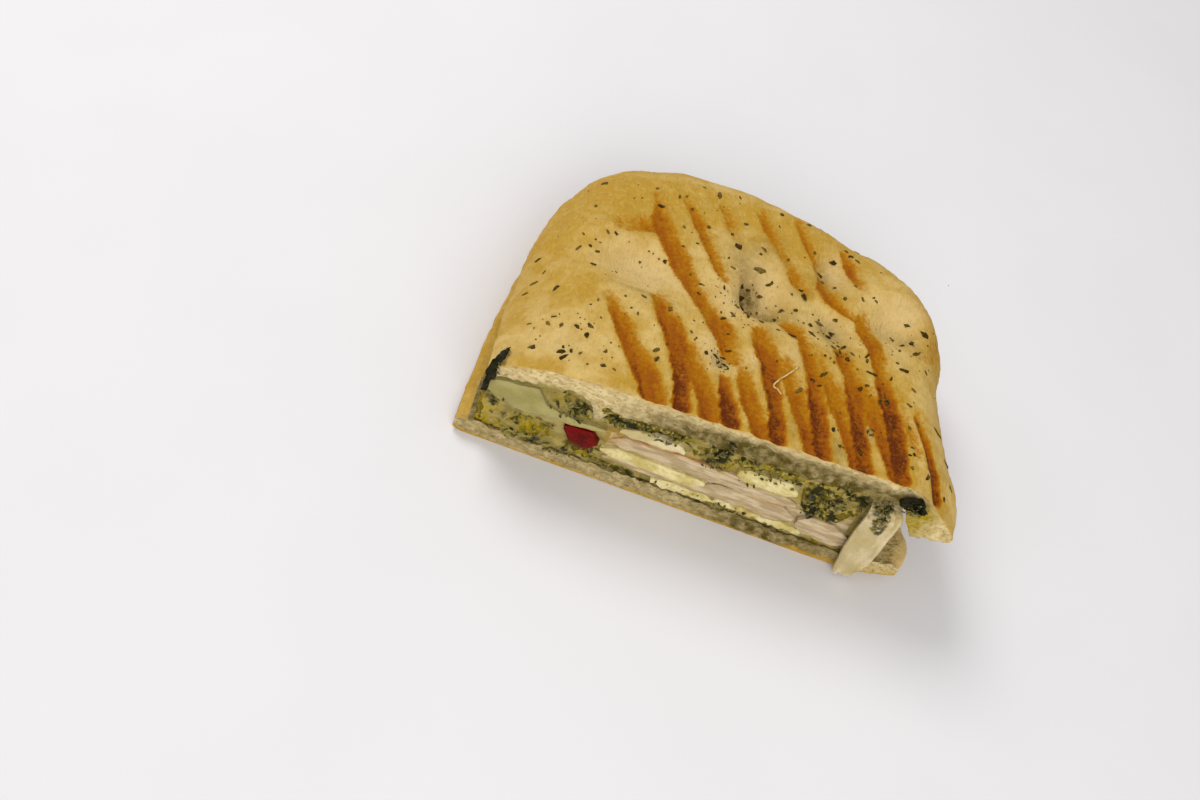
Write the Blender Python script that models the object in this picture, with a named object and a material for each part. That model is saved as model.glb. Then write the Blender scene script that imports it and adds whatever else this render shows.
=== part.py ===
"""One half of a grilled flatbread panini, cut straight across and lying on its base.

The cut face looks along -Y and the rounded end of the loaf is at +Y. Lengths in this file are in
millimetres, measured from the middle of the cut at the level of the base; place() turns them into
metres and moves the origin to the middle of the sandwich's footprint.
"""

import math
import random

import bmesh
import bpy
import numpy as np
from mathutils import Matrix, Vector

METRES_PER_MM = 0.001
# The middle of the footprint, seen from the middle of the cut
CENTRE_X = 1.7
CENTRE_Y = 53.2

# Outlines of the two breads at their widest, from the left end of the cut round the back to the right end
TOP_OUTLINE = (
    (-61, 0), (-61.5, 22), (-61, 46), (-59.4, 66), (-54.5, 84), (-45.5, 98), (-31, 106.5), (-12, 110),
    (5, 108.8), (20, 104.4), (30, 100.2), (42.5, 96), (52.2, 88.6), (59.6, 77), (63, 63), (62.8, 48),
    (64.8, 33), (67, 18), (68, 8), (67.3, 0),
)
BOTTOM_OUTLINE = (
    (-64.5, 0), (-64.3, 18), (-62.5, 44), (-59, 65), (-53.5, 83), (-44.5, 97), (-30.5, 105.5),
    (-12, 109), (5, 107.8), (19.5, 103.4), (29.5, 99.2), (41.5, 95), (51, 87.8), (57.8, 76.5),
    (60.6, 63), (60, 46), (58.2, 30), (60, 17), (63, 8), (61, 0),
)
RIM_STEPS = 360
# Cells along the cut, from front to back, and through the thickness; and how far they crowd to the rim
TOP_CELLS = (38, 26, 2)
BOTTOM_CELLS = (26, 18, 2)
CROWD_ACROSS = 0.5
CROWD_BACK = 0.55
BREAD_CUT_ROUGHNESS = 0.25
FILLING_CUT_ROUGHNESS = 0.35
# A corner of a block lies on the cut when its share of the depth is below this
ON_CUT = 1e-6

# The domed upper crust
CROWN_HEIGHT = 37.0
CROWN_LEAN = 0.045
CROWN_FALL = 7.0
CROWN_FALL_POWER = 1.6
LOAF_DEPTH = 100.0
# Hollows (positive) and swellings (negative) pressed into the crust: x, y, half width, half depth, how deep
PRESSED = (
    (-31, 50, 13, 10, 2.4),
    (2, 53, 7.5, 9, 4.6),
    (42, 57, 7, 7, 3.0),
    (24, 50, 6, 6, 1.8),
    (23, 76, 6, 8, 1.8),
    (-4, 80, 7, 8, 1.0),
    (41, 72, 10, 9, -1.6),
    (-46, 24, 13, 12, -0.8),
    (24, 62, 8, 5, -1.0),
)
PRESSED_SHARPNESS = 1.2
# Rounding of the upper rim along the outline: share of the way round, radius, how square
RIM_SHARES = (0.0, 0.22, 0.5, 0.8, 1.0)
RIM_RADII = (30.0, 18.0, 16.0, 16.0, 19.0)
RIM_POWERS = (1.6, 2.1, 2.2, 2.2, 1.35)
RIM_WALL = 1.3

# The space between the breads
TOP_THICKNESS = 9.0
LIP_HEIGHT = 11.4
SEAT_HEIGHT = 10.4
FLOOR_HEIGHT = 4.8
RIM_INNER = 7.0
RIM_OUTER = 20.0
ROOF_CLOSES = (2.0, 46.0)
FLOOR_CLOSES = (16.0, 56.0)
ROOF_AT_CUT = (
    (-61, 25.2), (-52, 26.4), (-44, 29.2), (-37, 29.6), (-30, 27.0), (-20, 27.6), (0, 28.6),
    (20, 28.4), (36, 30.0), (43, 31.8), (51, 31.8), (54.5, 25.5), (57, 21.4), (61, 22.6), (68, 24.4),
)
FLOOR_ROUNDING = 0.32
BASE_ROUNDING = 0.3
BASE_RADIUS = 4.0
SEAM_RADIUS = 3.0
SEAM_ROUNDING = 3.0
# The bottom bread's right corner turns up beside the cut
CURL_HEIGHT = 4.0
CURL_ACROSS = (46.0, 64.0)
CURL_ENDS = (14.0, 42.0)

# How far back a filling may run at each x
BACK_LIMIT = (
    (-62, 8), (-60, 26), (-55, 44), (-48, 58), (-40, 72), (-28, 84), (-10, 91),
    (10, 92), (26, 87), (38, 78), (46, 66), (52, 48),
)
FLOOR_GAP = 0.5
ROOF_GAP = 0.9

# Fillings at the cut: lower and upper edge as (x, z), front edge y, share of the depth, rows
FILLINGS = {
    "pesto_lower": (
        ((-60, 5.4), (44, 5.4)),
        (
            (-60, 6.2), (-54, 7.5), (-50, 11), (-46, 14.8), (-41, 14.8), (-37.5, 11.5), (-34, 9.4),
            (-28, 8.6), (-15, 7.0), (0, 6.2), (20, 6.4), (44, 6.2),
        ),
        1.2, 0.94, 10,
    ),
    "red_pepper": (
        ((-37.5, 15.5), (-34, 10.4), (-30, 10.2), (-27.6, 13.6)),
        ((-37.5, 17.0), (-34, 17.4), (-30, 17.6), (-27.6, 15.0)),
        -0.6, 0.8, 9,
    ),
    "mozzarella_slice": (
        ((-60, 20.6), (-56, 18.4), (-52, 17.2), (-47, 16.6), (-40, 17.9), (-33, 18.7), (-27, 19.4)),
        ((-60, 24.0), (-56, 24.6), (-50, 25.4), (-47, 25.6), (-43.5, 20.6), (-33, 19.8), (-27, 20.6)),
        -0.8, 0.9, 10,
    ),
    "cheese_lower": (
        ((-11, 7.9), (-7, 7.3), (6, 7.4), (28, 6.9), (32, 7.3)),
        ((-11, 8.4), (-7, 8.7), (10, 8.8), (28, 8.4), (32, 7.9)),
        -0.5, 0.9, 10,
    ),
    "chicken_lower": (
        ((-25, 9.9), (-21, 9.3), (-7, 9.3), (23, 9.2), (28, 10.2)),
        ((-25, 10.5), (-21, 11.2), (-4, 11.2), (3, 12.3), (6, 14.2), (12, 14.7), (23, 14.6), (28, 13.0)),
        -0.2, 0.93, 10,
    ),
    "cheese_middle": (
        ((-26.5, 12.4), (-22, 11.8), (-4, 11.8), (2.5, 13.0)),
        ((-26.5, 13.2), (-22, 14.6), (-4, 14.5), (2.5, 14.2)),
        -0.9, 0.86, 10,
    ),
    "chicken_upper": (
        ((-25, 16.4), (-21, 15.3), (22, 15.2), (27, 16.2)),
        ((-25, 17.4), (-21, 19.2), (-14, 20.0), (8, 19.7), (22, 19.2), (27, 17.8)),
        0.0, 0.95, 10,
    ),
    "chicken_end": (
        ((29.2, 10.2), (32.5, 8.9), (40, 8.3), (44, 9.2)),
        ((29.2, 13.2), (32.5, 15.1), (37, 15.5), (44, 12.4)),
        -0.6, 0.85, 10,
    ),
    "cheese_white": (
        ((-24, 21.6), (-20, 20.9), (-10, 20.9), (-6.4, 21.9)),
        ((-24, 22.1), (-19, 23.6), (-15, 24.4), (-9.5, 24.4), (-6.4, 23.1)),
        -0.7, 0.85, 10,
    ),
    "cheese_yellow": (
        ((8.4, 21.5), (12, 20.3), (21, 20.2), (25, 21.6)),
        ((8.4, 23.2), (11, 24.6), (22, 24.6), (25, 23.3)),
        -0.8, 0.85, 10,
    ),
    "pesto_upper": (
        (
            (-43, 22.0), (-41, 21.4), (-27, 21.8), (-25, 23.0), (-16, 25.3), (-5.4, 25.3), (-3.4, 21.2),
            (5.6, 21.0), (7.4, 25.5), (25.8, 25.5), (28.4, 16.6), (34, 16.2), (38, 17.0), (42.5, 22.0),
        ),
        ((-43, 26.0), (-37, 28.6), (-30, 26.4), (-20, 26.8), (0, 27.6), (20, 27.6), (36, 29.0), (42.5, 28.0)),
        0.5, 0.96, 10,
    ),
}
COLUMN_STEP = 8.0
WAVE_HEIGHT = 0.5
WAVE_LENGTH = 34.0

# The slice of cheese that melted out over the cut: x, y, z of its middle line, then its widths
MELT_LINE = (
    (47.2, 12, 28.2), (47.3, 4, 28.9), (47.6, -0.6, 28.4), (48.0, -2.0, 25.5), (47.8, -2.3, 17),
    (48.0, -2.4, 9), (47.4, -2.3, 1.8),
)
MELT_WIDTHS = (6.0, 6.5, 8.0, 10.0, 11.0, 10.0, 6.0)
MELT_THICKNESS = 1.8
MELT_FOLD = 0.5
MELT_CELLS = (4, 16)

LEAF_THICKNESS = 0.5
LEAF_CELLS = (8, 5)
# The left leaf's middle line: up the cut's left corner and over the edge of the crust
LEFT_LEAF_LINE = (
    (-60.4, -1.9, 20.8), (-60.3, -2.0, 24.2), (-60.1, -1.8, 27.0), (-59.8, -0.7, 29.2), (-59.3, 1.4, 30.0),
    (-58.8, 3.6, 30.2), (-58.3, 5.6, 30.2),
)
LEFT_LEAF_WIDTH = 2.6
# The right leaf: its left end, length, width in the middle and the height of its left end
RIGHT_LEAF_START = 48.6
RIGHT_LEAF_LENGTH = 7.4
RIGHT_LEAF_WIDTH = 5.2
RIGHT_LEAF_HEIGHT = 35.3
RIGHT_LEAF_DROP = 1.4
RIGHT_LEAF_FRONT = -1.3

# Dried herbs: where they crowd (x, y, spread, share), how many, their size from first to last
HERB_CROWDS = (
    (2, 53, 5, 0.16), (42, 57, 5, 0.12), (24, 50, 5, 0.1), (-44, 22, 9, 0.12), (24, 76, 7, 0.08),
)
HERB_COUNT = 46
HERB_LARGEST = 3.4
HERB_SMALLEST = 1.8
HERB_SIDES = 7
HERB_THICKNESS = 1.0
HERB_TAPER = 0.7
HERB_NARROWING = (0.45, 0.85)
# The part of the crust where flakes are drawn: x and y ranges
HERB_FIELD = ((-56, 60), (6, 98))
HERB_CLEAR_OF_EDGE = 9.0
HERB_SPACING = 1.1
SEED = 7

# Node colours: red, green, blue, roughness
COLOURS = {
    "bread_top": (0.60, 0.37, 0.13, 0.6),
    "bread_bottom": (0.66, 0.46, 0.22, 0.7),
    "pesto_lower": (0.22, 0.24, 0.04, 0.5),
    "pesto_upper": (0.10, 0.14, 0.03, 0.5),
    "red_pepper": (0.42, 0.02, 0.01, 0.3),
    "mozzarella_slice": (0.62, 0.66, 0.45, 0.35),
    "cheese_lower": (0.80, 0.72, 0.38, 0.45),
    "cheese_middle": (0.82, 0.74, 0.42, 0.4),
    "cheese_white": (0.84, 0.82, 0.66, 0.4),
    "cheese_yellow": (0.78, 0.72, 0.36, 0.4),
    "cheese_melt": (0.72, 0.68, 0.48, 0.35),
    "chicken_lower": (0.66, 0.55, 0.45, 0.55),
    "chicken_upper": (0.72, 0.56, 0.44, 0.55),
    "chicken_end": (0.76, 0.62, 0.50, 0.55),
    "basil_leaf_left": (0.03, 0.06, 0.02, 0.5),
    "basil_leaf_right": (0.03, 0.06, 0.02, 0.5),
}


def clear_scene():
    """Removes what the scene starts with."""
    for thing in list(bpy.data.objects):
        bpy.data.objects.remove(thing, do_unlink=True)


def smoothstep(low, high, value):
    """0 below low, 1 above high, and an even S between them."""
    part = np.clip((value - low) / (high - low), 0.0, 1.0)
    return part * part * (3.0 - 2.0 * part)


def blend(start, end, share):
    """The value that lies the given share of the way from start to end."""
    return start + (end - start) * share


def along(points, x):
    """A line through (x, z) points, read at x."""
    xs, zs = zip(*points)
    return np.interp(x, xs, zs)


def curve_through(points, share):
    """A smooth Catmull-Rom curve through the points, read at shares from 0 to 1."""
    knots = np.array(points, dtype=float)
    first = 2 * knots[0] - knots[1]
    last = 2 * knots[-1] - knots[-2]
    padded = np.vstack((first, knots, last))
    place_on = np.clip(share, 0, 1) * (len(knots) - 1)
    index = np.minimum(place_on.astype(int), len(knots) - 2)
    t = (place_on - index)[:, None]
    a, b, c, d = (padded[index + k] for k in range(4))
    return 0.5 * (2 * b + (c - a) * t + (2 * a - 5 * b + 4 * c - d) * t**2 + (3 * b - a - 3 * c + d) * t**3)


def even_curve(points):
    """The curve through the points, walked in equal steps."""
    dense = curve_through(points, np.linspace(0, 1, 8 * RIM_STEPS))
    lengths = np.concatenate(([0], np.cumsum(np.linalg.norm(np.diff(dense, axis=0), axis=1))))
    wanted = np.linspace(0, lengths[-1], RIM_STEPS + 1)
    return np.column_stack([np.interp(wanted, lengths, dense[:, k]) for k in range(2)])


TOP_RIM = even_curve(TOP_OUTLINE)
BOTTOM_RIM = even_curve(BOTTOM_OUTLINE)


def rim_distance(rim, x, y):
    """How far inside the rim each point lies, and the share of the way round of the nearest rim point."""
    start = rim[:-1]
    step = rim[1:] - start
    squared = (step**2).sum(axis=1)
    points = np.column_stack((x, y))
    across = points[:, None, :] - start[None, :, :]
    share = np.clip((across * step).sum(axis=2) / squared, 0, 1)
    away = np.linalg.norm(across - share[:, :, None] * step, axis=2)
    nearest = away.argmin(axis=1)
    rows = np.arange(len(points))
    return away[rows, nearest], (nearest + share[rows, nearest]) / len(start)


def plan(rim, u, v):
    """Spreads a square of cells over the loaf's plan: u along the cut, v from the cut to the back."""
    third = RIM_STEPS // 3
    left, back, right = rim[: third + 1], rim[third : 2 * third + 1], rim[2 * third :][::-1]
    steps = np.linspace(0, 1, third + 1)

    def read(side, share):
        return np.column_stack([np.interp(share, steps, side[:, k]) for k in range(2)])

    u_, v_ = u[:, None], v[:, None]
    cut = blend(left[0], right[0], u_)
    sides = blend(read(left, v), read(right, v), u_)
    ends = blend(cut, read(back, u), v_)
    corners = blend(cut, blend(left[-1], right[-1], u_), v_)
    return (sides + ends - corners).T


def crown(x, y):
    """Height of the upper crust before its rim is rounded."""
    height = CROWN_HEIGHT + CROWN_LEAN * x
    height = height - CROWN_FALL * (np.clip(y, 0, None) / LOAF_DEPTH) ** CROWN_FALL_POWER
    for centre_x, centre_y, half_x, half_y, depth in PRESSED:
        squared = ((x - centre_x) / half_x) ** 2 + ((y - centre_y) / half_y) ** 2
        height = height - depth * np.exp(-PRESSED_SHARPNESS * squared)
    return height


def closing(x, y, closes):
    """How far the two breads have come together at a point, from 0 over the filling to 1 at the rim."""
    away, _ = rim_distance(TOP_RIM, x, y)
    return (1 - smoothstep(RIM_INNER, RIM_OUTER, away)) * smoothstep(*closes, y)


def roof(x, y):
    """The top bread's lower surface."""
    at_cut = along(ROOF_AT_CUT, x)
    inside = crown(x, y) - TOP_THICKNESS
    height = blend(at_cut, inside, smoothstep(*ROOF_CLOSES, y))
    return blend(height, LIP_HEIGHT, closing(x, y, ROOF_CLOSES))


def floor(x, y):
    """The bottom bread's upper surface."""
    return blend(FLOOR_HEIGHT, SEAT_HEIGHT, closing(x, y, FLOOR_CLOSES))


def rounded(away, radius, power):
    """Share of the full height that a rounded edge has reached at a distance from it."""
    part = np.clip(1 - away / radius, 0, 1)
    return (1 - part**power) ** (1 / power)


def top_surfaces(x, y):
    """Lower and upper surface of the top bread."""
    away, share = rim_distance(TOP_RIM, x, y)
    low = roof(x, y)
    closed = smoothstep(*ROOF_CLOSES, y)
    low = low + SEAM_ROUNDING * closed * (1 - rounded(away, SEAM_RADIUS, 2))
    radius = np.interp(share, RIM_SHARES, RIM_RADII)
    power = np.interp(share, RIM_SHARES, RIM_POWERS)
    edge = low + RIM_WALL
    high = edge + (crown(x, y) - edge) * rounded(away, radius, power)
    return low, high


def bottom_surfaces(x, y):
    """Lower and upper surface of the bottom bread."""
    away, _ = rim_distance(BOTTOM_RIM, x, y)
    full = floor(x, y)
    low = BASE_ROUNDING * full * (1 - rounded(away, BASE_RADIUS, 2))
    high = full - FLOOR_ROUNDING * full * (1 - rounded(away, BASE_RADIUS, 2))
    curl = CURL_HEIGHT * smoothstep(*CURL_ACROSS, x) * (1 - smoothstep(*CURL_ENDS, y))
    return low + curl, high + curl


def block(columns, rows, layers):
    """A closed box of cells, 1 by 1 by 1, with its corner at the origin."""
    bm = bmesh.new()
    bmesh.ops.create_grid(bm, x_segments=columns, y_segments=rows, size=0.5)
    bmesh.ops.triangulate(bm, faces=bm.faces[:], quad_method="FIXED")
    bmesh.ops.translate(bm, verts=bm.verts, vec=(0.5, 0.5, 0))
    raised = bmesh.ops.extrude_face_region(bm, geom=bm.faces[:])["geom"]
    top = [part for part in raised if isinstance(part, bmesh.types.BMVert)]
    bmesh.ops.translate(bm, verts=top, vec=(0, 0, 1))
    bmesh.ops.recalc_face_normals(bm, faces=bm.faces[:])
    if layers > 1:
        upright = [edge for edge in bm.edges if abs(edge.verts[0].co.z - edge.verts[1].co.z) > 0.5]
        bmesh.ops.subdivide_edges(bm, edges=upright, cuts=layers - 1, use_grid_fill=True)
    return bm


def place(x, y, z):
    """Millimetres from the middle of the cut to metres from the middle of the footprint."""
    return np.column_stack((x - CENTRE_X, y - CENTRE_Y, z)) * METRES_PER_MM


def make_object(name, bm, points=None):
    """Turns a bmesh into a named object with its own material, moved to the given points."""
    mesh = bpy.data.meshes.new(name)
    bm.to_mesh(mesh)
    bm.free()
    if points is not None:
        mesh.vertices.foreach_set("co", points.ravel())
    mesh.update()
    thing = bpy.data.objects.new(name, mesh)
    bpy.context.scene.collection.objects.link(thing)
    mesh.materials.append(food_material(name))
    return thing


def food_material(name):
    """A plain material in the piece's own colour."""
    red, green, blue, roughness = COLOURS[name]
    material = bpy.data.materials.new(name)
    material.use_nodes = True
    shader = material.node_tree.nodes["Principled BSDF"]
    shader.inputs["Base Color"].default_value = (red, green, blue, 1)
    shader.inputs["Roughness"].default_value = roughness
    shader.inputs["Metallic"].default_value = 0.0
    return material


def unit_places(bm):
    """The u, v and w of a block's corners."""
    return np.array([corner.co[:] for corner in bm.verts]).T


def closer_at_edges(share, pull):
    """Moves even steps towards both ends by the given pull."""
    return blend(share, 0.5 - 0.5 * np.cos(math.pi * share), pull)


def closer_at_back(share, pull):
    """Moves even steps towards the far end by the given pull."""
    return blend(share, np.sin(0.5 * math.pi * share), pull)


def cut_roughness(x, z, size):
    """Small unevenness of a cut face, in and out of its plane."""
    return size * np.sin(0.9 * x + 1.7 * np.sin(0.31 * x)) * np.sin(0.7 * z + 0.2 * x)


def make_bread(name, rim, surfaces, cells):
    """One bread: a block of cells spread over the plan between its two surfaces."""
    bm = block(*cells)
    u, v, w = unit_places(bm)
    x, y = plan(rim, closer_at_edges(u, CROWD_ACROSS), closer_at_back(v, CROWD_BACK))
    low, high = surfaces(x, y)
    z = blend(low, high, w)
    y = y + np.where(v < ON_CUT, cut_roughness(x, z, BREAD_CUT_ROUGHNESS), 0)
    return make_object(name, bm, place(x, y, z))


def columns_for(low, high):
    """Every x where an edge bends, with steps between them."""
    bends = sorted({x for x, _ in low + high})
    xs = [bends[0]]
    for start, end in zip(bends, bends[1:]):
        steps = max(1, math.ceil((end - start) / COLUMN_STEP))
        xs.extend(blend(start, end, (k + 1) / steps) for k in range(steps))
    return np.array(xs)


def at_depth(x, y, height_at_cut):
    """Carries a height at the cut back into the loaf: it keeps its share of the space between the breads."""
    front = np.zeros_like(y)
    low, high = floor(x, front) + FLOOR_GAP, roof(x, front) - ROOF_GAP
    share = (height_at_cut - low) / (high - low)
    wave = WAVE_HEIGHT * np.sin(2 * math.pi * y / WAVE_LENGTH + 0.05 * x) * smoothstep(3, 20, y)
    open_share = np.clip(share * (1 - share) * 4, 0, 1)
    return blend(floor(x, y) + FLOOR_GAP, roof(x, y) - ROOF_GAP, share) + wave * open_share


def make_filling(name, low, high, front, reach, rows):
    """One filling: it follows its edges at the cut and runs back between the breads."""
    xs = columns_for(low, high)
    bm = block(len(xs) - 1, rows, 1)
    u, v, w = unit_places(bm)
    column = np.rint(u * (len(xs) - 1)).astype(int)
    x = xs[column]
    y = front + v * (along(BACK_LIMIT, x) * reach - front)
    edge = blend(along(low, x), along(high, x), w)
    z = at_depth(x, y, edge)
    y = y + np.where(v < ON_CUT, cut_roughness(x, z, FILLING_CUT_ROUGHNESS), 0)
    return make_object(name, bm, place(x, y, z))


def make_melted_slice():
    """The cheese that hangs out of the cut and down over the bottom bread."""
    bm = block(*MELT_CELLS, 1)
    u, v, w = unit_places(bm)
    middle = curve_through(MELT_LINE, v)
    step = 1 / MELT_CELLS[1]
    ahead = curve_through(MELT_LINE, v + step / 2) - curve_through(MELT_LINE, v - step / 2)
    out = np.column_stack((np.zeros_like(v), ahead[:, 2], -ahead[:, 1]))
    out = out / np.linalg.norm(out, axis=1)[:, None]
    width = np.interp(v, np.linspace(0, 1, len(MELT_WIDTHS)), MELT_WIDTHS)
    # One soft fold runs down the hanging part, a third of the way across
    fold = MELT_FOLD * np.cos(math.pi * (u - 0.3)) ** 2 * smoothstep(0.3, 0.6, v)
    offset = (w - 0.5) * MELT_THICKNESS - fold
    x = middle[:, 0] + (u - 0.5) * width
    y = middle[:, 1] - out[:, 1] * offset
    z = middle[:, 2] - out[:, 2] * offset
    return make_object("cheese_melt", bm, place(x, y, z))


def make_leaf(name, shape):
    """A thin wavy leaf: shape gives the middle of its thickness, and the second value the way it is thick."""
    bm = block(*LEAF_CELLS, 1)
    u, v, w = unit_places(bm)
    points, thick_way = shape(u, v)
    half = (w - 0.5)[:, None] * LEAF_THICKNESS
    x, y, z = (points + half * np.array(thick_way)).T
    return make_object(name, bm, place(x, y, z))


def left_leaf(u, v):
    """Sticks out at the left end of the cut and folds back over the crust's edge."""
    x, y, z = curve_through(LEFT_LEAF_LINE, u).T
    across = (0.5 - v) * LEFT_LEAF_WIDTH * np.sqrt(np.clip(1 - 0.8 * (2 * u - 1) ** 2, 0, 1))
    over = smoothstep(0.3, 0.6, u)
    x = x + across * (1 - 0.2 * over)
    y = y - 0.15 * (1 + np.sin(11 * u + 2 * v)) * (1 - over)
    z = z + (0.6 * across + 0.15 * (1 + np.sin(9 * u + 2 * v))) * over
    return np.column_stack((x, y, z)), blend(np.array((0, -1, 0)), np.array((-0.5, -0.2, 0.8)), over[:, None])


def right_leaf(u, v):
    """Lies over the cut edge of the top bread, where the knife dragged it."""
    x = RIGHT_LEAF_START + RIGHT_LEAF_LENGTH * u
    reach = RIGHT_LEAF_WIDTH * np.sqrt(np.clip(1 - (2 * u - 1) ** 2 * 0.8, 0, 1))
    z = RIGHT_LEAF_HEIGHT + (v - 0.5) * reach - RIGHT_LEAF_DROP * u
    y = RIGHT_LEAF_FRONT - 0.35 * np.sin(5 * u + 3 * v)
    return np.column_stack((x, y, z)), (0, -1, 0)


def inside_rim(rim, x, y):
    """Whether a point in front of the back of the loaf lies between its two sides."""
    crossings = np.diff(np.sign(rim[:, 1] - y)) != 0
    sides = rim[:-1][crossings, 0]
    return len(sides) > 1 and sides.min() < x < sides.max()


def crust_normal(x, y):
    """Which way the upper crust faces at one point."""
    step = 0.5
    xs = np.array([x, x + step, x])
    ys = np.array([y, y, y + step])
    _, z = top_surfaces(xs, ys)
    return Vector((z[0] - z[1], z[0] - z[2], step)).normalized(), z[0]


def herb_places():
    """Where the larger herb flakes lie: some crowd in the hollows, the rest anywhere on the crust."""
    draw = random.Random(SEED)
    placed = []
    while len(placed) < HERB_COUNT:
        size = blend(HERB_LARGEST, HERB_SMALLEST, len(placed) / HERB_COUNT)
        pick = draw.random()
        x, y = draw.uniform(*HERB_FIELD[0]), draw.uniform(*HERB_FIELD[1])
        for crowd_x, crowd_y, spread, share in HERB_CROWDS:
            if 0 <= pick < share:
                x, y = draw.gauss(crowd_x, spread), draw.gauss(crowd_y, spread)
            pick -= share
        away, _ = rim_distance(TOP_RIM, np.array([x]), np.array([y]))
        inside = y > HERB_FIELD[1][0] and inside_rim(TOP_RIM, x, y)
        clear = all(math.hypot(x - a, y - b) > HERB_SPACING * (size + c) / 2 for a, b, c in placed)
        if inside and away[0] > HERB_CLEAR_OF_EDGE and clear:
            placed.append((x, y, size))
    return placed


def make_herbs(collection):
    """Flat, uneven flakes, half sunk in the crust."""
    draw = random.Random(SEED + 1)
    for number, (x, y, size) in enumerate(herb_places()):
        bm = bmesh.new()
        bmesh.ops.create_cone(
            bm, cap_ends=True, cap_tris=False, segments=HERB_SIDES,
            radius1=size / 2, radius2=HERB_TAPER * size / 2, depth=HERB_THICKNESS,
        )
        bmesh.ops.scale(bm, vec=(1, draw.uniform(*HERB_NARROWING), 1), verts=bm.verts)
        normal, z = crust_normal(x, y)
        turn = normal.to_track_quat("Z", "Y").to_matrix() @ Matrix.Rotation(draw.uniform(0, math.pi), 3, "Z")
        bmesh.ops.rotate(bm, cent=(0, 0, 0), matrix=turn, verts=bm.verts)
        bmesh.ops.translate(bm, vec=(x - CENTRE_X, y - CENTRE_Y, z), verts=bm.verts)
        bmesh.ops.scale(bm, vec=(METRES_PER_MM,) * 3, verts=bm.verts)
        mesh = bpy.data.meshes.new("herb_flake")
        bm.to_mesh(mesh)
        bm.free()
        collection.objects.link(bpy.data.objects.new(f"herb_flake_{number}", mesh))


def fuse_herbs(bread):
    """Joins the flakes to the crust they lie on, as one solid."""
    collection = bpy.data.collections.new("herb_flakes")
    bpy.context.scene.collection.children.link(collection)
    make_herbs(collection)
    union = bread.modifiers.new("herbs", "BOOLEAN")
    union.operation = "UNION"
    union.operand_type = "COLLECTION"
    union.collection = collection
    union.solver = "EXACT"
    bpy.context.view_layer.objects.active = bread
    bpy.context.view_layer.update()
    bpy.ops.object.modifier_apply(modifier=union.name)
    for flake in list(collection.objects):
        bpy.data.objects.remove(flake, do_unlink=True)
    bpy.data.collections.remove(collection)


def main():
    clear_scene()
    top = make_bread("bread_top", TOP_RIM, top_surfaces, TOP_CELLS)
    fuse_herbs(top)
    make_bread("bread_bottom", BOTTOM_RIM, bottom_surfaces, BOTTOM_CELLS)
    for name, sizes in FILLINGS.items():
        make_filling(name, *sizes)
    make_melted_slice()
    make_leaf("basil_leaf_left", left_leaf)
    make_leaf("basil_leaf_right", right_leaf)


main()
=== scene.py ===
import itertools
import math
import random

import bmesh
import bpy
import numpy as np
from mathutils import Matrix, Vector


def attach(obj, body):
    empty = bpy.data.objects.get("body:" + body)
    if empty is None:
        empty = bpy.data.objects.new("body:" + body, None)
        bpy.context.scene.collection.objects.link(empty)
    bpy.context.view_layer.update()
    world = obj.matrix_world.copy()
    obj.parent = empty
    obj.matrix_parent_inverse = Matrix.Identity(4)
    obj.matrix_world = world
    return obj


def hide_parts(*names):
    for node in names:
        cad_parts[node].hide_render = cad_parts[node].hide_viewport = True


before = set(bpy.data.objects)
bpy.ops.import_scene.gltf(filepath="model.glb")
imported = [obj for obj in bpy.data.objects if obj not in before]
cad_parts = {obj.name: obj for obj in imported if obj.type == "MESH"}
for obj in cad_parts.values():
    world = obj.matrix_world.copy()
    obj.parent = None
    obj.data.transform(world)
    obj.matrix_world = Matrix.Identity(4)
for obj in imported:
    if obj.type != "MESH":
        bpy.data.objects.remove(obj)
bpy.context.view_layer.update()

bl_info = {
    "name": "Panini half",
    "version": (1, 0, 0),
    "blender": (4, 5, 0),
    "location": "View3D > Sidebar > Panini",
    "description": "Dresses half of a grilled flatbread panini: crust, crumb, fillings and herbs",
    "category": "Object",
}

BODY = "root"

# Lengths in this file are in millimetres, measured from the middle of the cut at the level of the base.
# place() turns them into the model's metres, measured from the middle of the footprint.
METRES_PER_MM = 0.001
MM_PER_METRE = 1000
CENTRE_X = 1.7
CENTRE_Y = 53.2

# How lumps() turns the place of a cell and a seed into an even random number
SEED_SHIFT = 31.7
CELL_PRIMES = (73856093, 19349663, 83492791)
SEED_PRIME = 2654435761
MIX_PRIME = 1274126177
# How many points rim_distance() compares with the rim at once
POINTS_AT_ONCE = 4000

TOP_OUTLINE = (
    (-61, 0), (-61.5, 22), (-61, 46), (-59.4, 66), (-54.5, 84), (-45.5, 98), (-31, 106.5), (-12, 110),
    (5, 108.8), (20, 104.4), (30, 100.2), (42.5, 96), (52.2, 88.6), (59.6, 77), (63, 63), (62.8, 48),
    (64.8, 33), (67, 18), (68, 8), (67.3, 0),
)
BOTTOM_OUTLINE = (
    (-64.5, 0), (-64.3, 18), (-62.5, 44), (-59, 65), (-53.5, 83), (-44.5, 97), (-30.5, 105.5),
    (-12, 109), (5, 107.8), (19.5, 103.4), (29.5, 99.2), (41.5, 95), (51, 87.8), (57.8, 76.5),
    (60.6, 63), (60, 46), (58.2, 30), (60, 17), (63, 8), (61, 0),
)
RIM_STEPS = 360
TOP_CELLS = (212, 168, 15)
BOTTOM_CELLS = (200, 90, 12)
CROWD_ACROSS = 0.5
CROWD_BACK = 0.4
ON_CUT = 1e-6

CROWN_HEIGHT = 37.0
CROWN_LEAN = 0.045
CROWN_FALL = 7.0
CROWN_FALL_POWER = 1.6
LOAF_DEPTH = 100.0
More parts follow.
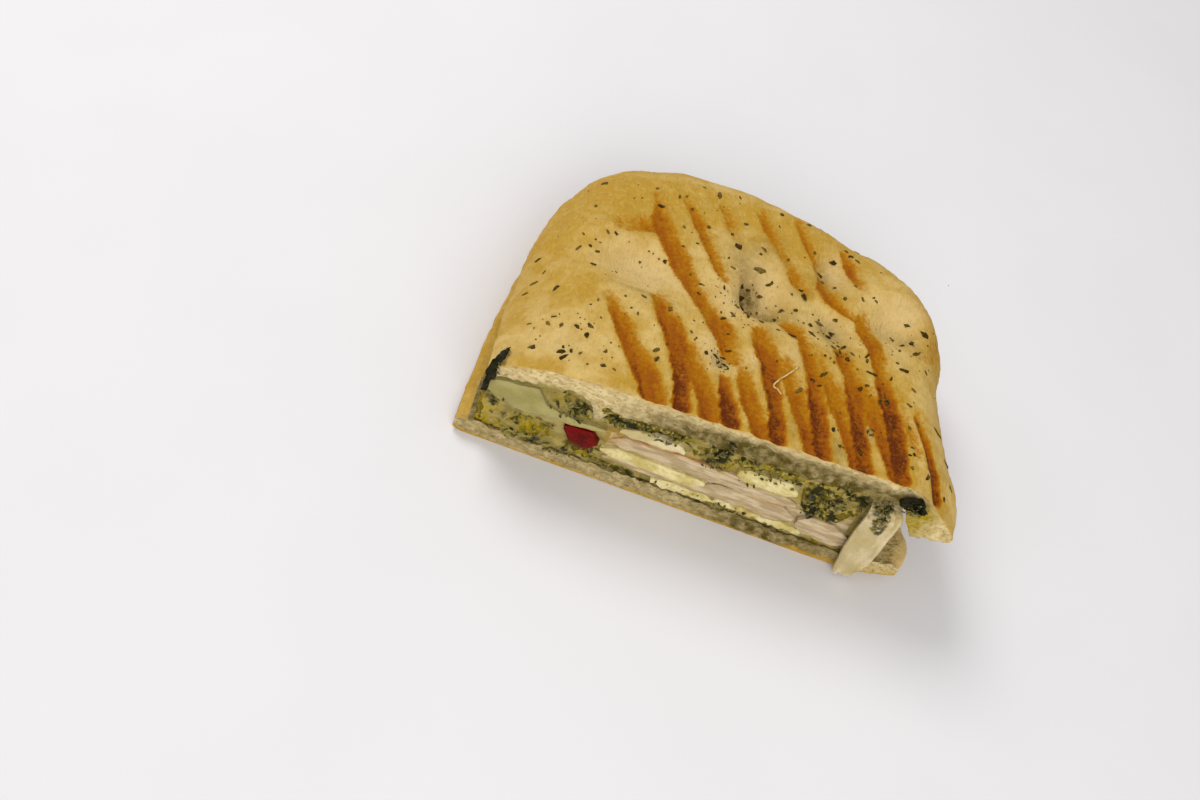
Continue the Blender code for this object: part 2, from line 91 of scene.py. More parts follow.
# Hollows (positive) and swellings (negative) pressed into the crust: x, y, half width, half depth, how deep
PRESSED = (
    (-31, 50, 13, 10, 2.4), (2, 53, 7.5, 9, 4.6), (42, 57, 7, 7, 3.0), (24, 50, 6, 6, 1.8),
    (23, 76, 6, 8, 1.8), (-4, 80, 7, 8, 1.0), (41, 72, 10, 9, -1.6), (-46, 24, 13, 12, -0.8),
    (24, 62, 8, 5, -1.0),
)
PRESSED_SHARPNESS = 1.2
# Smaller hollows (positive) and swellings (negative) that only the fine surface holds: x, y, half width,
# half depth, how deep, turned by how many degrees
DIMPLES = (
    (-31, 51, 9, 7, 0.9, 0), (-31, 37.5, 10, 2.6, -0.8, -8), (-19, 49, 2.5, 9, -0.5, 20),
    (0.6, 54.6, 2.2, 5.0, 3.2, 20), (-3.4, 58, 1.6, 6, -0.7, 15), (4.6, 58, 1.8, 5, -0.6, 20),
    (6, 48.6, 5, 1.4, 0.8, -25), (5, 50, 5, 6, 0.9, 0), (-6, 52, 3, 8, -0.9, 12),
    (10, 56, 3, 8, -0.6, 15), (1, 44, 7, 2.6, -0.6, 0), (-5, 23, 2.6, 4, 1.3, 10),
    (36.4, 15.5, 2.0, 4.5, 1.0, 12), (24, 50, 3.4, 4.5, 1.1, 20), (20.6, 74, 1.8, 6.5, 1.5, 10),
    (25, 76, 3, 7, 0.7, 10), (42, 60, 5, 4.5, 1.2, 0), (50, 70, 8, 5, -0.9, -30),
    (47, 51, 5, 3.2, -0.5, 0), (-6, 42, 5, 3.5, 0.7, 0), (-9, 26, 2, 7, -0.5, 25),
    (3, 28, 1.8, 8, -0.4, 20), (14, 34, 3.5, 6, -0.5, 20), (-45, 60, 9, 9, -0.7, 0),
    (-20, 68, 6, 9, -0.5, 20), (-24, 26, 3.5, 12, -0.5, 22), (-3, 68, 5, 5, 0.5, 0),
    (12, 84, 5, 8, -0.5, 15), (32, 66, 6, 5, -0.6, 0), (27, 43, 2.6, 3.6, 0.9, 25),
)
RIM_SHARES = (0.0, 0.22, 0.5, 0.8, 1.0)
RIM_RADII = (30.0, 18.0, 16.0, 16.0, 19.0)
RIM_POWERS = (1.6, 2.1, 2.2, 2.2, 1.35)
RIM_WALL = 1.3

TOP_THICKNESS = 9.0
LIP_HEIGHT = 11.4
SEAT_HEIGHT = 10.4
FLOOR_HEIGHT = 4.8
RIM_INNER = 7.0
RIM_OUTER = 20.0
ROOF_CLOSES = (2.0, 46.0)
FLOOR_CLOSES = (16.0, 56.0)
ROOF_AT_CUT = (
    (-61, 25.2), (-52, 26.4), (-44, 29.2), (-37, 29.6), (-30, 27.0), (-20, 27.6), (0, 28.6),
    (20, 28.4), (36, 30.0), (43, 31.8), (51, 31.8), (54.5, 25.5), (57, 21.4), (61, 22.6), (68, 24.4),
)
FLOOR_ROUNDING = 0.32
BASE_ROUNDING = 0.3
BASE_RADIUS = 4.0
SEAM_RADIUS = 3.0
SEAM_ROUNDING = 3.0
CURL_HEIGHT = 4.0
CURL_ACROSS = (46.0, 64.0)
CURL_ENDS = (14.0, 42.0)

BACK_LIMIT = (
    (-62, 8), (-60, 26), (-55, 44), (-48, 58), (-40, 72), (-28, 84), (-10, 91),
    (10, 92), (26, 87), (38, 78), (46, 66), (52, 48),
)
FLOOR_GAP = 0.5
ROOF_GAP = 0.9
WAVE_HEIGHT = 0.5
WAVE_LENGTH = 34.0
WAVE_TURN = 0.05
WAVE_STARTS = (3, 20)

# Fillings at the cut: lower and upper edge as (x, z), front edge y, share of the depth
FILLINGS = {
    "pesto_lower": (
        ((-60, 5.4), (44, 5.4)),
        (
            (-60, 6.2), (-54, 7.5), (-50, 11), (-46, 14.8), (-41, 14.8), (-37.5, 11.5), (-34, 9.4),
            (-28, 8.6), (-15, 7.0), (0, 6.2), (20, 6.4), (44, 6.2),
        ),
        1.2, 0.94,
    ),
    "red_pepper": (
        ((-37.5, 15.5), (-34, 10.4), (-30, 10.2), (-27.6, 13.6)),
        ((-37.5, 17.0), (-34, 17.4), (-30, 17.6), (-27.6, 15.0)),
        -0.6, 0.8,
    ),
    "mozzarella_slice": (
        ((-60, 20.6), (-56, 18.4), (-52, 17.2), (-47, 16.6), (-40, 17.9), (-33, 18.7), (-27, 19.4)),
        ((-60, 24.0), (-56, 24.6), (-50, 25.4), (-47, 25.6), (-43.5, 20.6), (-33, 19.8), (-27, 20.6)),
        -0.8, 0.9,
    ),
    "cheese_lower": (
        ((-11, 7.9), (-7, 7.3), (6, 7.4), (28, 6.9), (32, 7.3)),
        ((-11, 8.4), (-7, 8.7), (10, 8.8), (28, 8.4), (32, 7.9)),
        -0.5, 0.9,
    ),
    "chicken_lower": (
        ((-25, 9.9), (-21, 9.3), (-7, 9.3), (23, 9.2), (28, 10.2)),
        ((-25, 10.5), (-21, 11.2), (-4, 11.2), (3, 12.3), (6, 14.2), (12, 14.7), (23, 14.6), (28, 13.0)),
        -0.2, 0.93,
    ),
    "cheese_middle": (
        ((-26.5, 12.4), (-22, 11.8), (-4, 11.8), (2.5, 13.0)),
        ((-26.5, 13.2), (-22, 14.6), (-4, 14.5), (2.5, 14.2)),
        -0.9, 0.86,
    ),
    "chicken_upper": (
        ((-25, 16.4), (-21, 15.3), (22, 15.2), (27, 16.2)),
        ((-25, 17.4), (-21, 19.2), (-14, 20.0), (8, 19.7), (22, 19.2), (27, 17.8)),
        0.0, 0.95,
    ),
    "chicken_end": (
        ((29.2, 10.2), (32.5, 8.9), (40, 8.3), (44, 9.2)),
        ((29.2, 13.2), (32.5, 15.1), (37, 15.5), (44, 12.4)),
        -0.6, 0.85,
    ),
    "cheese_white": (
        ((-24, 21.6), (-20, 20.9), (-10, 20.9), (-6.4, 21.9)),
        ((-24, 22.1), (-19, 23.6), (-15, 24.4), (-9.5, 24.4), (-6.4, 23.1)),
        -0.7, 0.85,
    ),
    "cheese_yellow": (
        ((8.4, 21.5), (12, 20.3), (21, 20.2), (25, 21.6)),
        ((8.4, 23.2), (11, 24.6), (22, 24.6), (25, 23.3)),
        -0.8, 0.85,
    ),
    "pesto_upper": (
        (
            (-43, 22.0), (-41, 21.4), (-27, 21.8), (-25, 23.0), (-16, 25.3), (-5.4, 25.3), (-3.4, 21.2),
            (5.6, 21.0), (7.4, 25.5), (25.8, 25.5), (28.4, 16.6), (34, 16.2), (38, 17.0), (42.5, 22.0),
        ),
        (
            (-43, 26.0), (-37, 28.6), (-30, 26.4), (-20, 26.8), (0, 27.6), (20, 27.6), (36, 29.0),
            (42.5, 28.0),
        ),
        0.5, 0.96,
    ),
}
LAYER_COLUMN = 0.5
LAYER_ROW_CROWD = 2.0
LAYER_ROWS = 22
LAYER_THINNEST = 0.6
# Raggedness of the lower and of the upper edge: lump size, and what is added to the seed
RAGGED_EDGES = (((2.0, 0), (7.0, 2)), ((2.2, 1), (6.0, 3)))
# How each filling's surface is uneven: how far it swells into the gaps round it, then (lump size, height)
# of its relief, how far the lumps are drawn out along the slice, and how ragged its edges are
SURFACES = {
    "pesto_lower": (0.45, ((3.0, 0.7), (1.2, 0.5), (0.7, 0.25)), 1.0, 0.5),
    "pesto_upper": (0.5, ((3.0, 0.8), (1.3, 0.6), (0.7, 0.3)), 1.0, 0.6),
    "red_pepper": (0.2, ((4.0, 0.3), (1.2, 0.12)), 1.5, 0.25),
    "mozzarella_slice": (0.3, ((6.0, 0.4), (1.5, 0.12)), 2.0, 0.2),
    "cheese_lower": (0.5, ((2.0, 0.55), (0.8, 0.45)), 1.2, 0.7),
    "cheese_middle": (0.35, ((4.0, 0.4), (1.0, 0.2)), 2.5, 0.3),
    "cheese_white": (0.5, ((3.0, 0.5), (1.2, 0.25)), 1.6, 0.55),
    "cheese_yellow": (0.6, ((3.4, 0.5), (1.2, 0.25)), 1.5, 0.6),
    "chicken_lower": (0.45, ((2.6, 0.4), (0.8, 0.25)), 4.0, 0.4),
    "chicken_upper": (0.4, ((2.4, 0.35), (0.8, 0.25)), 4.0, 0.35),
    "chicken_end": (0.6, ((3.0, 0.45), (1.0, 0.2)), 2.5, 0.5),
}
LIP_BULGE = 0.35
LIP_WAVE = 0.45
# Melted cheese and pesto between the layers: its ends, cells, gap to the breads and the y it fills.
# Unevenness, here and below, is a list of layers: the size of the lumps, their height and a seed.
SAUCE_ENDS = (-59.2, 47.6)
SAUCE_CELLS = (190, 6, 42)
SAUCE_SLOPE = 3.0
SAUCE_GAP = 0.15
SAUCE_FRONT = 0.9
SAUCE_BACK = 7.0
SAUCE_LUMPS = ((2.8, 0.5, 61), (1.3, 0.4, 62), (0.7, 0.25, 63))
SAUCE_BULGE = 1.6
SAUCE_END_LUMPS = ((2.0, 0.8, 66),)
SAUCE_END_STARTS = (0.96, 1.0)
# Where shreds of chicken show in it: left, right, lowest and highest
SHREDS = (-26.0, 43.0, 8.6, 18.8)
END_TAPER = 3.0
# Dark clumps of chopped leaf and yellow oily parts in the pesto: x, z, spread across, spread up, how strong
LEAF_CLUMPS = (
    (-36.5, 24.5, 3.2, 2.4, 1.0), (-24, 25, 5, 1.3, 0.9), (-13, 26.2, 4, 1.0, 0.6),
    (2.4, 24, 2.6, 3.4, 1.0), (-1.5, 27, 2, 1.6, 0.6), (9, 27, 3, 0.9, 0.5), (29, 25, 2.4, 3, 0.6),
    (36, 22.6, 2.6, 3.2, 0.95), (41.4, 27.6, 2.2, 3.8, 1.0), (31, 18, 2, 1.6, 0.8),
    (-34, 10, 3, 1.6, 0.9), (-58, 7, 2, 1.2, 0.5), (-49, 11.5, 2, 1.6, 0.5), (-18, 6.6, 6, 0.9, 0.9),
    (6, 6.4, 5, 0.8, 0.6), (-41, 13.4, 1.4, 1.2, 0.6), (24, 6.4, 6, 0.8, 0.7), (2.6, 29, 1.4, 4.0, 1.0),
    (-9, 28.4, 1.8, 1.8, 0.5), (6.5, 29, 1.8, 2, 0.4), (45.4, 29, 1.7, 2.6, 1.0),
    (46.8, 26.4, 1.5, 2.4, 1.0), (47.5, 29, 2.4, 1.6, 0.8), (48.2, 23.4, 1.0, 1.8, 0.7),
    (36, 30.6, 3.0, 2.6, 1.5), (37, 17, 1.8, 1.6, 0.8), (29, 17.6, 1.6, 1.6, 0.7),
    (32, 16.6, 1.2, 1.2, 0.6), (52.4, 33.6, 2.6, 1.6, 0.9), (14, 6, 2.4, 1.4, 0.5),
    (-6.5, 5.5, 1.4, 1.4, 0.7), (33, 5, 2, 1.4, 0.6), (-28, 7, 4, 1.6, 0.4), (-49, 4.4, 3, 1.2, 0.3),
    (18, 30, 8, 2.2, 0.35), (30, 26, 2.4, 3, 0.4), (-58.6, 17.5, 2, 2.4, 0.9),
    (-56.6, 14.6, 2.4, 1.0, 0.6), (47.4, 24.6, 1.8, 3, 0.8), (8, 32.8, 3.4, 1.8, 1.0),
    (-20, 5.6, 5, 1.0, 0.8),
)
BROWN_LINES = (
    (-22, 20.2, 5, 0.5, 0.6), (-12, 20.3, 7, 0.55, 0.85), (-1, 20.2, 4, 0.5, 0.6),
    (19, 15.2, 5, 0.6, 0.4), (16, 7.6, 1.5, 1.2, 0.4), (12, 19.6, 10, 0.4, 0.35),
    (-24, 17.5, 3, 2.5, 0.35),
)
OIL_SPOTS = (
    (-41.5, 24, 2.4, 2.2, 1.0), (-56, 7, 5, 1.5, 1.0), (-46, 10.5, 4, 2.6, 0.9),
    (6, 22.5, 2.4, 2.4, 0.9), (15, 27, 7, 1.2, 0.8), (27.5, 21, 2, 5, 0.6), (33, 28, 4, 1.6, 0.6),
    (-6, 26.5, 3, 1.2, 0.6), (50, 7, 1.6, 3, 0.35), (18, 26.6, 9, 1.6, 0.5), (-34, 9, 5, 2, 0.4),
    (-24, 10, 2, 3, 0.5), (34, 18, 5, 2, 0.6), (-24, 17, 2, 3, 0.5), (40, 18, 3, 2, 0.5),
    (46, 17, 3, 2, 0.2), (54.6, 27.6, 4.4, 5.6, 1.4), (-58, 12.5, 3.4, 4.6, 0.9), (57, 31, 3, 2.4, 0.7),
    (51, 4, 2, 2, 0.3), (57, 5, 3, 2, 0.4),
)

MELT_LINE = (
    (47.2, 12, 28.2), (47.3, 4, 28.9), (47.6, -0.6, 28.4), (48.0, -2.0, 25.5), (47.8, -2.3, 17),
    (48.0, -2.4, 9), (47.4, -2.3, 1.8),
)
MELT_WIDTHS = (6.0, 7.4, 8.6, 8.8, 9.0, 8.0, 5.2)
MELT_SHIFT = 0.5
MELT_THICKNESS = 1.8
MELT_FOLD = 0.5
MELT_CELLS = (44, 110, 4)
MELT_BREADTH = 10
MELT_LENGTH = 32
MELT_SIDES = ((3.0, 0.7, 41),)
MELT_LUMPS = ((3.4, 0.28, 42), (1.2, 0.1, 43))
MELT_FRINGE = ((1.6, 0.8, 44), (0.6, 0.6, 45))
MELT_ROLL = 0.7
MELT_CLEAN_FROM = (49.5, 51.5)
LEAF_THICKNESS = 0.35
LEAF_CELLS = (40, 26)
LEAF_CRUMPLE = ((1.9, 0.55, 51), (0.8, 0.275, 52))
LEAF_TORN = [((1.5, 0.65, seed), (0.7, 0.325, seed + 3)) for seed in (53, 54, 55)]
# The left leaf's middle line: up the cut's left corner and over the edge of the crust
LEFT_LEAF_LINE = (
    (-60.4, -1.9, 20.8), (-60.3, -2.0, 24.2), (-60.1, -1.8, 27.0), (-59.8, -0.7, 29.2), (-59.3, 1.4, 30.0),
    (-58.8, 3.6, 30.2), (-58.3, 5.6, 30.2),
)
LEFT_LEAF_WIDTH = 2.6
LEAF_WAVE = 0.15
# The crumb's torn edge at the cut, how much more the bottom bread's is, and a tongue that hangs down
TORN_EDGE = ((2.6, 0.7, 32), (1.1, 0.49, 33))
BOTTOM_TORN = 1.3
BOTTOM_RAISED = 0.5
TONGUE_X = -30.8
TONGUE_HALF_WIDTH = 1.9
TONGUE_LENGTH = 5.0
# The right leaf: its left end, length, width in the middle and the height of its left end
RIGHT_LEAF_START = 48.6
RIGHT_LEAF_LENGTH = 7.4
RIGHT_LEAF_WIDTH = 5.2
RIGHT_LEAF_HEIGHT = 35.3
RIGHT_LEAF_DROP = 1.4
RIGHT_LEAF_FRONT = -1.3
RIGHT_LEAF_WAVE = 0.35

# Grill marks: x, y, width and how brown, from the back of the loaf to the cut
GRILL_MARKS = (
    (
        (-31.5, 84, 2.5, 0.2), (-30, 77, 4, 0.4), (-28, 70, 6, 0.6), (-24.5, 63, 5.5, 0.62),
        (-20, 55, 5.5, 0.6), (-16, 47, 4.5, 0.55), (-11.5, 41, 5.5, 0.5), (-6.5, 35, 7, 0.62),
        (-4, 29, 5.5, 0.55), (-1, 24, 4, 0.4),
    ),
    ((-39, 64, 7, 0.22), (-35, 67, 7, 0.4), (-29, 69, 6, 0.52)),
    (
        (-37.5, 33, 4, 0.25), (-34.5, 27, 5, 0.5), (-31, 21, 5, 0.62), (-28, 16, 5, 0.62),
        (-24.5, 11, 6.5, 0.68), (-21.8, 6, 6.5, 0.72), (-20, 1, 6.5, 0.76),
    ),
    (
        (-24.5, 38, 4.5, 0.45), (-21.5, 32, 6, 0.6), (-18.5, 27, 6.2, 0.72), (-16.2, 21, 6, 0.78),
        (-14.6, 14, 4.6, 0.88), (-13.6, 8, 4.2, 0.95), (-12.6, 1, 4.4, 0.95),
    ),
    ((-13, 23, 4, 0.5), (-11, 17, 5, 0.55), (-8.5, 11, 5.5, 0.6), (-6, 6, 5.5, 0.66), (-5, 1, 5.5, 0.72)),
    ((-3.4, 16.5, 2, 0.6), (-2.2, 11, 3.4, 0.88), (-0.6, 6, 4.4, 0.98), (0.5, 1, 4.6, 1.0)),
    (
        (0.6, 23, 2.5, 0.3), (2.2, 18, 4.8, 0.52), (4.6, 11, 5.2, 0.6), (7, 5, 5, 0.68),
        (8.6, 1, 4.8, 0.74),
    ),
    (
        (4.2, 38, 5.5, 0.42), (6.2, 32, 6, 0.62), (8.2, 27, 5.4, 0.74), (9.2, 21, 4.4, 0.82),
        (10.6, 15, 4.2, 0.86), (11.8, 9, 4.4, 0.92), (13, 1, 4.4, 0.96),
    ),
    (
        (12, 29, 4.5, 0.45), (14.5, 23, 5, 0.5), (16.8, 17, 5, 0.54), (18.4, 12, 4.8, 0.6),
        (20.5, 7, 4.2, 0.66), (22.4, 1, 4, 0.74),
    ),
    ((11, 44.5, 3, 0.45), (14, 43, 4.5, 0.62), (17, 40, 3.5, 0.5)),
    (
        (17.2, 38.5, 4.5, 0.52), (19.4, 33, 4.6, 0.58), (20.4, 28, 4, 0.62), (21.2, 22, 4.2, 0.75),
        (22.3, 16, 4.6, 0.92), (23.5, 10, 4.4, 0.95), (24.6, 5, 4.6, 0.92), (25.6, 1, 4.6, 0.9),
    ),
    (
        (20.5, 37, 4, 0.3), (23, 31, 4, 0.36), (25.3, 26, 5.5, 0.45), (27.6, 20, 6, 0.52),
        (29.6, 15, 5, 0.56), (31.4, 10, 4, 0.64), (33.4, 5, 4, 0.72), (34.5, 1, 3.6, 0.8),
    ),
    (
        (27.6, 41.5, 4, 0.6), (28.8, 37, 5, 0.56), (30.6, 33, 4.5, 0.5), (31.8, 28, 5, 0.68),
        (32.6, 22, 5, 0.84), (33.6, 15, 4.6, 0.84), (35.2, 8, 4.2, 0.9), (36.8, 1, 4.2, 0.95),
    ),
    (
        (35, 29, 4.5, 0.4), (37, 24, 6, 0.54), (39.4, 18, 5, 0.58), (41.4, 12, 4.8, 0.64),
        (43.6, 6, 4, 0.74), (45, 1, 3.4, 0.8),
    ),
    (
        (32.5, 58, 4, 0.42), (34, 53, 5, 0.56), (36.6, 47, 4.2, 0.72), (38, 42, 3.6, 0.56),
        (39, 37, 3.4, 0.52), (40, 32, 4, 0.7), (41.3, 27, 5, 0.86), (43, 21, 5, 0.98),
        (44.4, 15, 4.8, 1.0), (45.6, 9, 4.4, 1.0), (46.6, 1, 4.2, 0.88),
    ),
    ((43, 30, 1.8, 0.3), (45.6, 24, 2.2, 0.42), (48.6, 18, 2.2, 0.42), (50.6, 12, 1.8, 0.3)),
    (
        (49.8, 25.5, 1.8, 0.6), (52, 19.5, 2.2, 0.78), (54, 14, 2.7, 0.86), (56, 9, 3.6, 0.92),
        (58.2, 3.5, 3.8, 0.95),
    ),
    (
        (-23.6, 86, 1.6, 0.35), (-20, 80, 2.6, 0.5), (-17, 75, 3.6, 0.6), (-14, 68, 3.2, 0.5),
        (-11.6, 62, 3.2, 0.56), (-9.6, 58, 2.6, 0.55), (-7.6, 54.5, 1.8, 0.35),
    ),
    ((-12, 88, 1.8, 0.3), (-9, 82, 3, 0.42), (-6.6, 76, 2, 0.25)),
    (
        (-0.4, 92, 2.6, 0.35), (2.2, 86, 3.4, 0.48), (5, 80, 2.8, 0.35), (9.5, 71, 2.5, 0.3),
        (12.6, 65, 6, 0.42), (16, 60, 3, 0.3),
    ),
    ((11, 92, 2.2, 0.42), (13.4, 86, 3, 0.5), (15.8, 81, 2.6, 0.5), (19, 75, 1.8, 0.3)),
    (
        (20, 71, 2.4, 0.45), (20.8, 65, 4.4, 0.55), (22.6, 61, 4.4, 0.62), (26.5, 58.4, 2, 0.6),
        (31, 56.5, 2, 0.45),
    ),
    ((26, 86, 2, 0.5), (28.2, 80, 3.4, 0.62), (30, 75, 2.6, 0.5), (31, 70.5, 1.4, 0.3)),
    ((50, 50, 5, 0.14), (55, 56, 7, 0.2), (58, 64, 5, 0.16)),
)
MARK_LEFT_SOFTNESS = 0.6
MARK_RIGHT_SOFTNESS = 1.9
MARK_HALO = 2.4
MARK_SOFTNESS_RANGE = (0.4, 1.6)
MARK_DARKEST = 1.08
MARK_WOBBLE = ((2.4, 0.35, 3), (0.9, 0.2, 4))
MARK_SMEAR = ((3.0, 0.1, 5),)
# Streaks run along the bars, which lie about 20 degrees off the depth
MARK_STREAKS = ((1.0, 0.14, 6),)
BAR_SLOPE = 0.36
STREAK_DRAWN = 0.16
FAINT_WIDTH = 0.75
FAINT_TO_CLEAR = (0.3, 0.65)
# The bar's left edge pressed harder than its right one, and raised a ridge beside it
LEFT_DARKER = 0.14
RIDGE_HEIGHT = 0.4
RIDGE_AWAY = 0.9
RIDGE_WIDTH = 0.7
# Marks and dimples fade towards the rim, but not in a strip along the cut
CUT_STRIP = 12
MARKS_FADE = (2, 7)
DIMPLES_FADE = (3, 9)

# Relief of the breads
CRUST_WAVES = ((9.0, 0.8, 11), (4.0, 0.45, 12), (1.1, 0.2, 14))
CRUST_WRINKLES = (2.0, 13)
WRINKLE_SHARE = 0.45
WRINKLE_DRAWN = 0.55
BOTTOM_RELIEF = 0.6
INSIDE_LUMPS = ((2.0, 0.3, 31),)
CRUMB_LUMPS = ((3.4, 0.9, 23), (1.6, 0.5, 24))
# Pores: size, depth, from which unevenness they open, and a seed
CRUMB_PORES = ((1.5, 0.9, 0.15, 21), (0.9, 0.54, 0.2, 22))
CRUMB_DRAWN = 0.6
CRUMB_FROM_EDGE = 0.2
# How far the crust reaches in under the rim, for the bottom and the top bread
CRUST_TURNS_IN = (3, 2)

# How brown, oily and soaked the breads are, and between which x, y or heights that changes
RIND = (0.2, 1.0)
TOP_RIND = 0.6
RIM_GOLD = 0.3
RIM_GOLD_FADES = (3, 12)
DRY_CRUMB = 3.2
SOAKED = 1.1
SOAKED_FROM = (-36, -2)
SOAKED_TO = (50, 54)
PESTO_STAIN = 0.25
PESTO_STAIN_HEIGHT = 1.5
FLAP_SOAKED = 0.5
FLAP_FROM = (50, 53)
FLAP_TO = (55, 62)
CORNER_ACROSS = (46, 52)
CORNER_BACK = (14, 30)
CORNER_PALE = 0.7
CORNER_OIL = 0.45
CORNER_DRIER = 0.35
CORNER_DRIES = (44, 50)
BASE_SEAR = 0.25
BOTTOM_GOLD = 0.75
BASE_GOLD = 0.35
BASE_GOLD_HEIGHT = 3
CUT_SOAKED = 0.55
CUT_SOAKED_MORE = 0.45
BOTTOM_SOAKED_FROM = (-5, 22)
BOTTOM_SOAKED_TO = (34, 46)
UNDER_PESTO = 0.85
SOAK_ENDS = (20, 60)
SCORCHED = 0.85
SCORCHED_FROM = (27, 33)
SCORCHED_TO = (44, 50)
SCORCHED_HEIGHT = (0.9, 2.2)

# Broad golden areas of the crust: x, y, spread across, spread in depth, how golden
GOLDEN = (
    (-46, 33, 7, 10, 0.5), (-44, 76, 8, 8, 0.45), (-35, 67, 4.5, 4, 0.9), (25.5, 63, 4, 4, 0.4),
    (-50, 56, 8, 12, 0.4), (-50, 1, 6, 3, 0.7), (-27, 4, 6, 4, 0.4), (4, 34, 4, 4, 0.45),
    (14, 68, 10, 8, 0.4), (56, 66, 7, 16, 0.6), (2, 88, 50, 10, 0.45), (-34, 78, 14, 12, 0.35),
    (60, 78, 6, 12, 0.7), (33, 36, 4, 4, 0.4), (44, 33, 6, 6, 0.3), (22, 34, 5, 5, 0.35),
    (35, 8, 3, 5, 0.3), (12, 80, 8, 6, 0.3),
)
GOLDEN_BASE = 0.38
# Deep places that hold herb dust and oil, darkened further with painted shade in the hollows and creases
SHADED = (
    (0.6, 54.4, 2.4, 4.6, 1.0), (3.4, 50.4, 3.4, 1.8, 0.4), (-2, 62, 5, 5, 0.35), (-24, 36, 6, 2, 0.3),
    (10, 48, 6, 8, 0.3), (5, 47, 4, 3, 0.4), (24, 49.5, 3.4, 4, 0.6), (27.5, 43, 3, 3, 0.5),
    (-5, 23, 2.4, 3.6, 0.6), (20.8, 73, 2.0, 6, 0.55), (-31, 38, 8, 1.2, 0.3), (-4, 70, 5, 7, 0.3),
    (4, 78, 5, 6, 0.25), (36.4, 15, 1.8, 3, 0.5), (42, 58, 5, 2, 0.25), (-43, 8, 4, 4, 0.12),
    (29, 4, 3, 5, 0.45), (17, 7, 3, 4, 0.25), (15, 60, 3, 3, 0.3), (48, 55, 4, 4, 0.3),
)
# Pale hollows where the grill never touched
PALE = (
    (-30, 50, 12, 9, 0.9), (2, 58, 8, 12, 0.9), (24, 76, 5, 8, 0.8), (42, 62, 8, 6, 0.75),
    (24, 51, 6, 5, 0.7), (-5, 23, 3, 4, 0.7), (36.4, 15.5, 2.2, 4, 0.9), (-6, 46, 5, 6, 0.6),
    (14, 33, 4, 4, 0.5), (-9, 26, 3, 5, 0.6), (4, 28, 2, 6, 0.6), (45, 50, 6, 6, 0.3),
    (-48, 12, 10, 8, 0.35), (46, 68, 7, 4, 0.6),
)

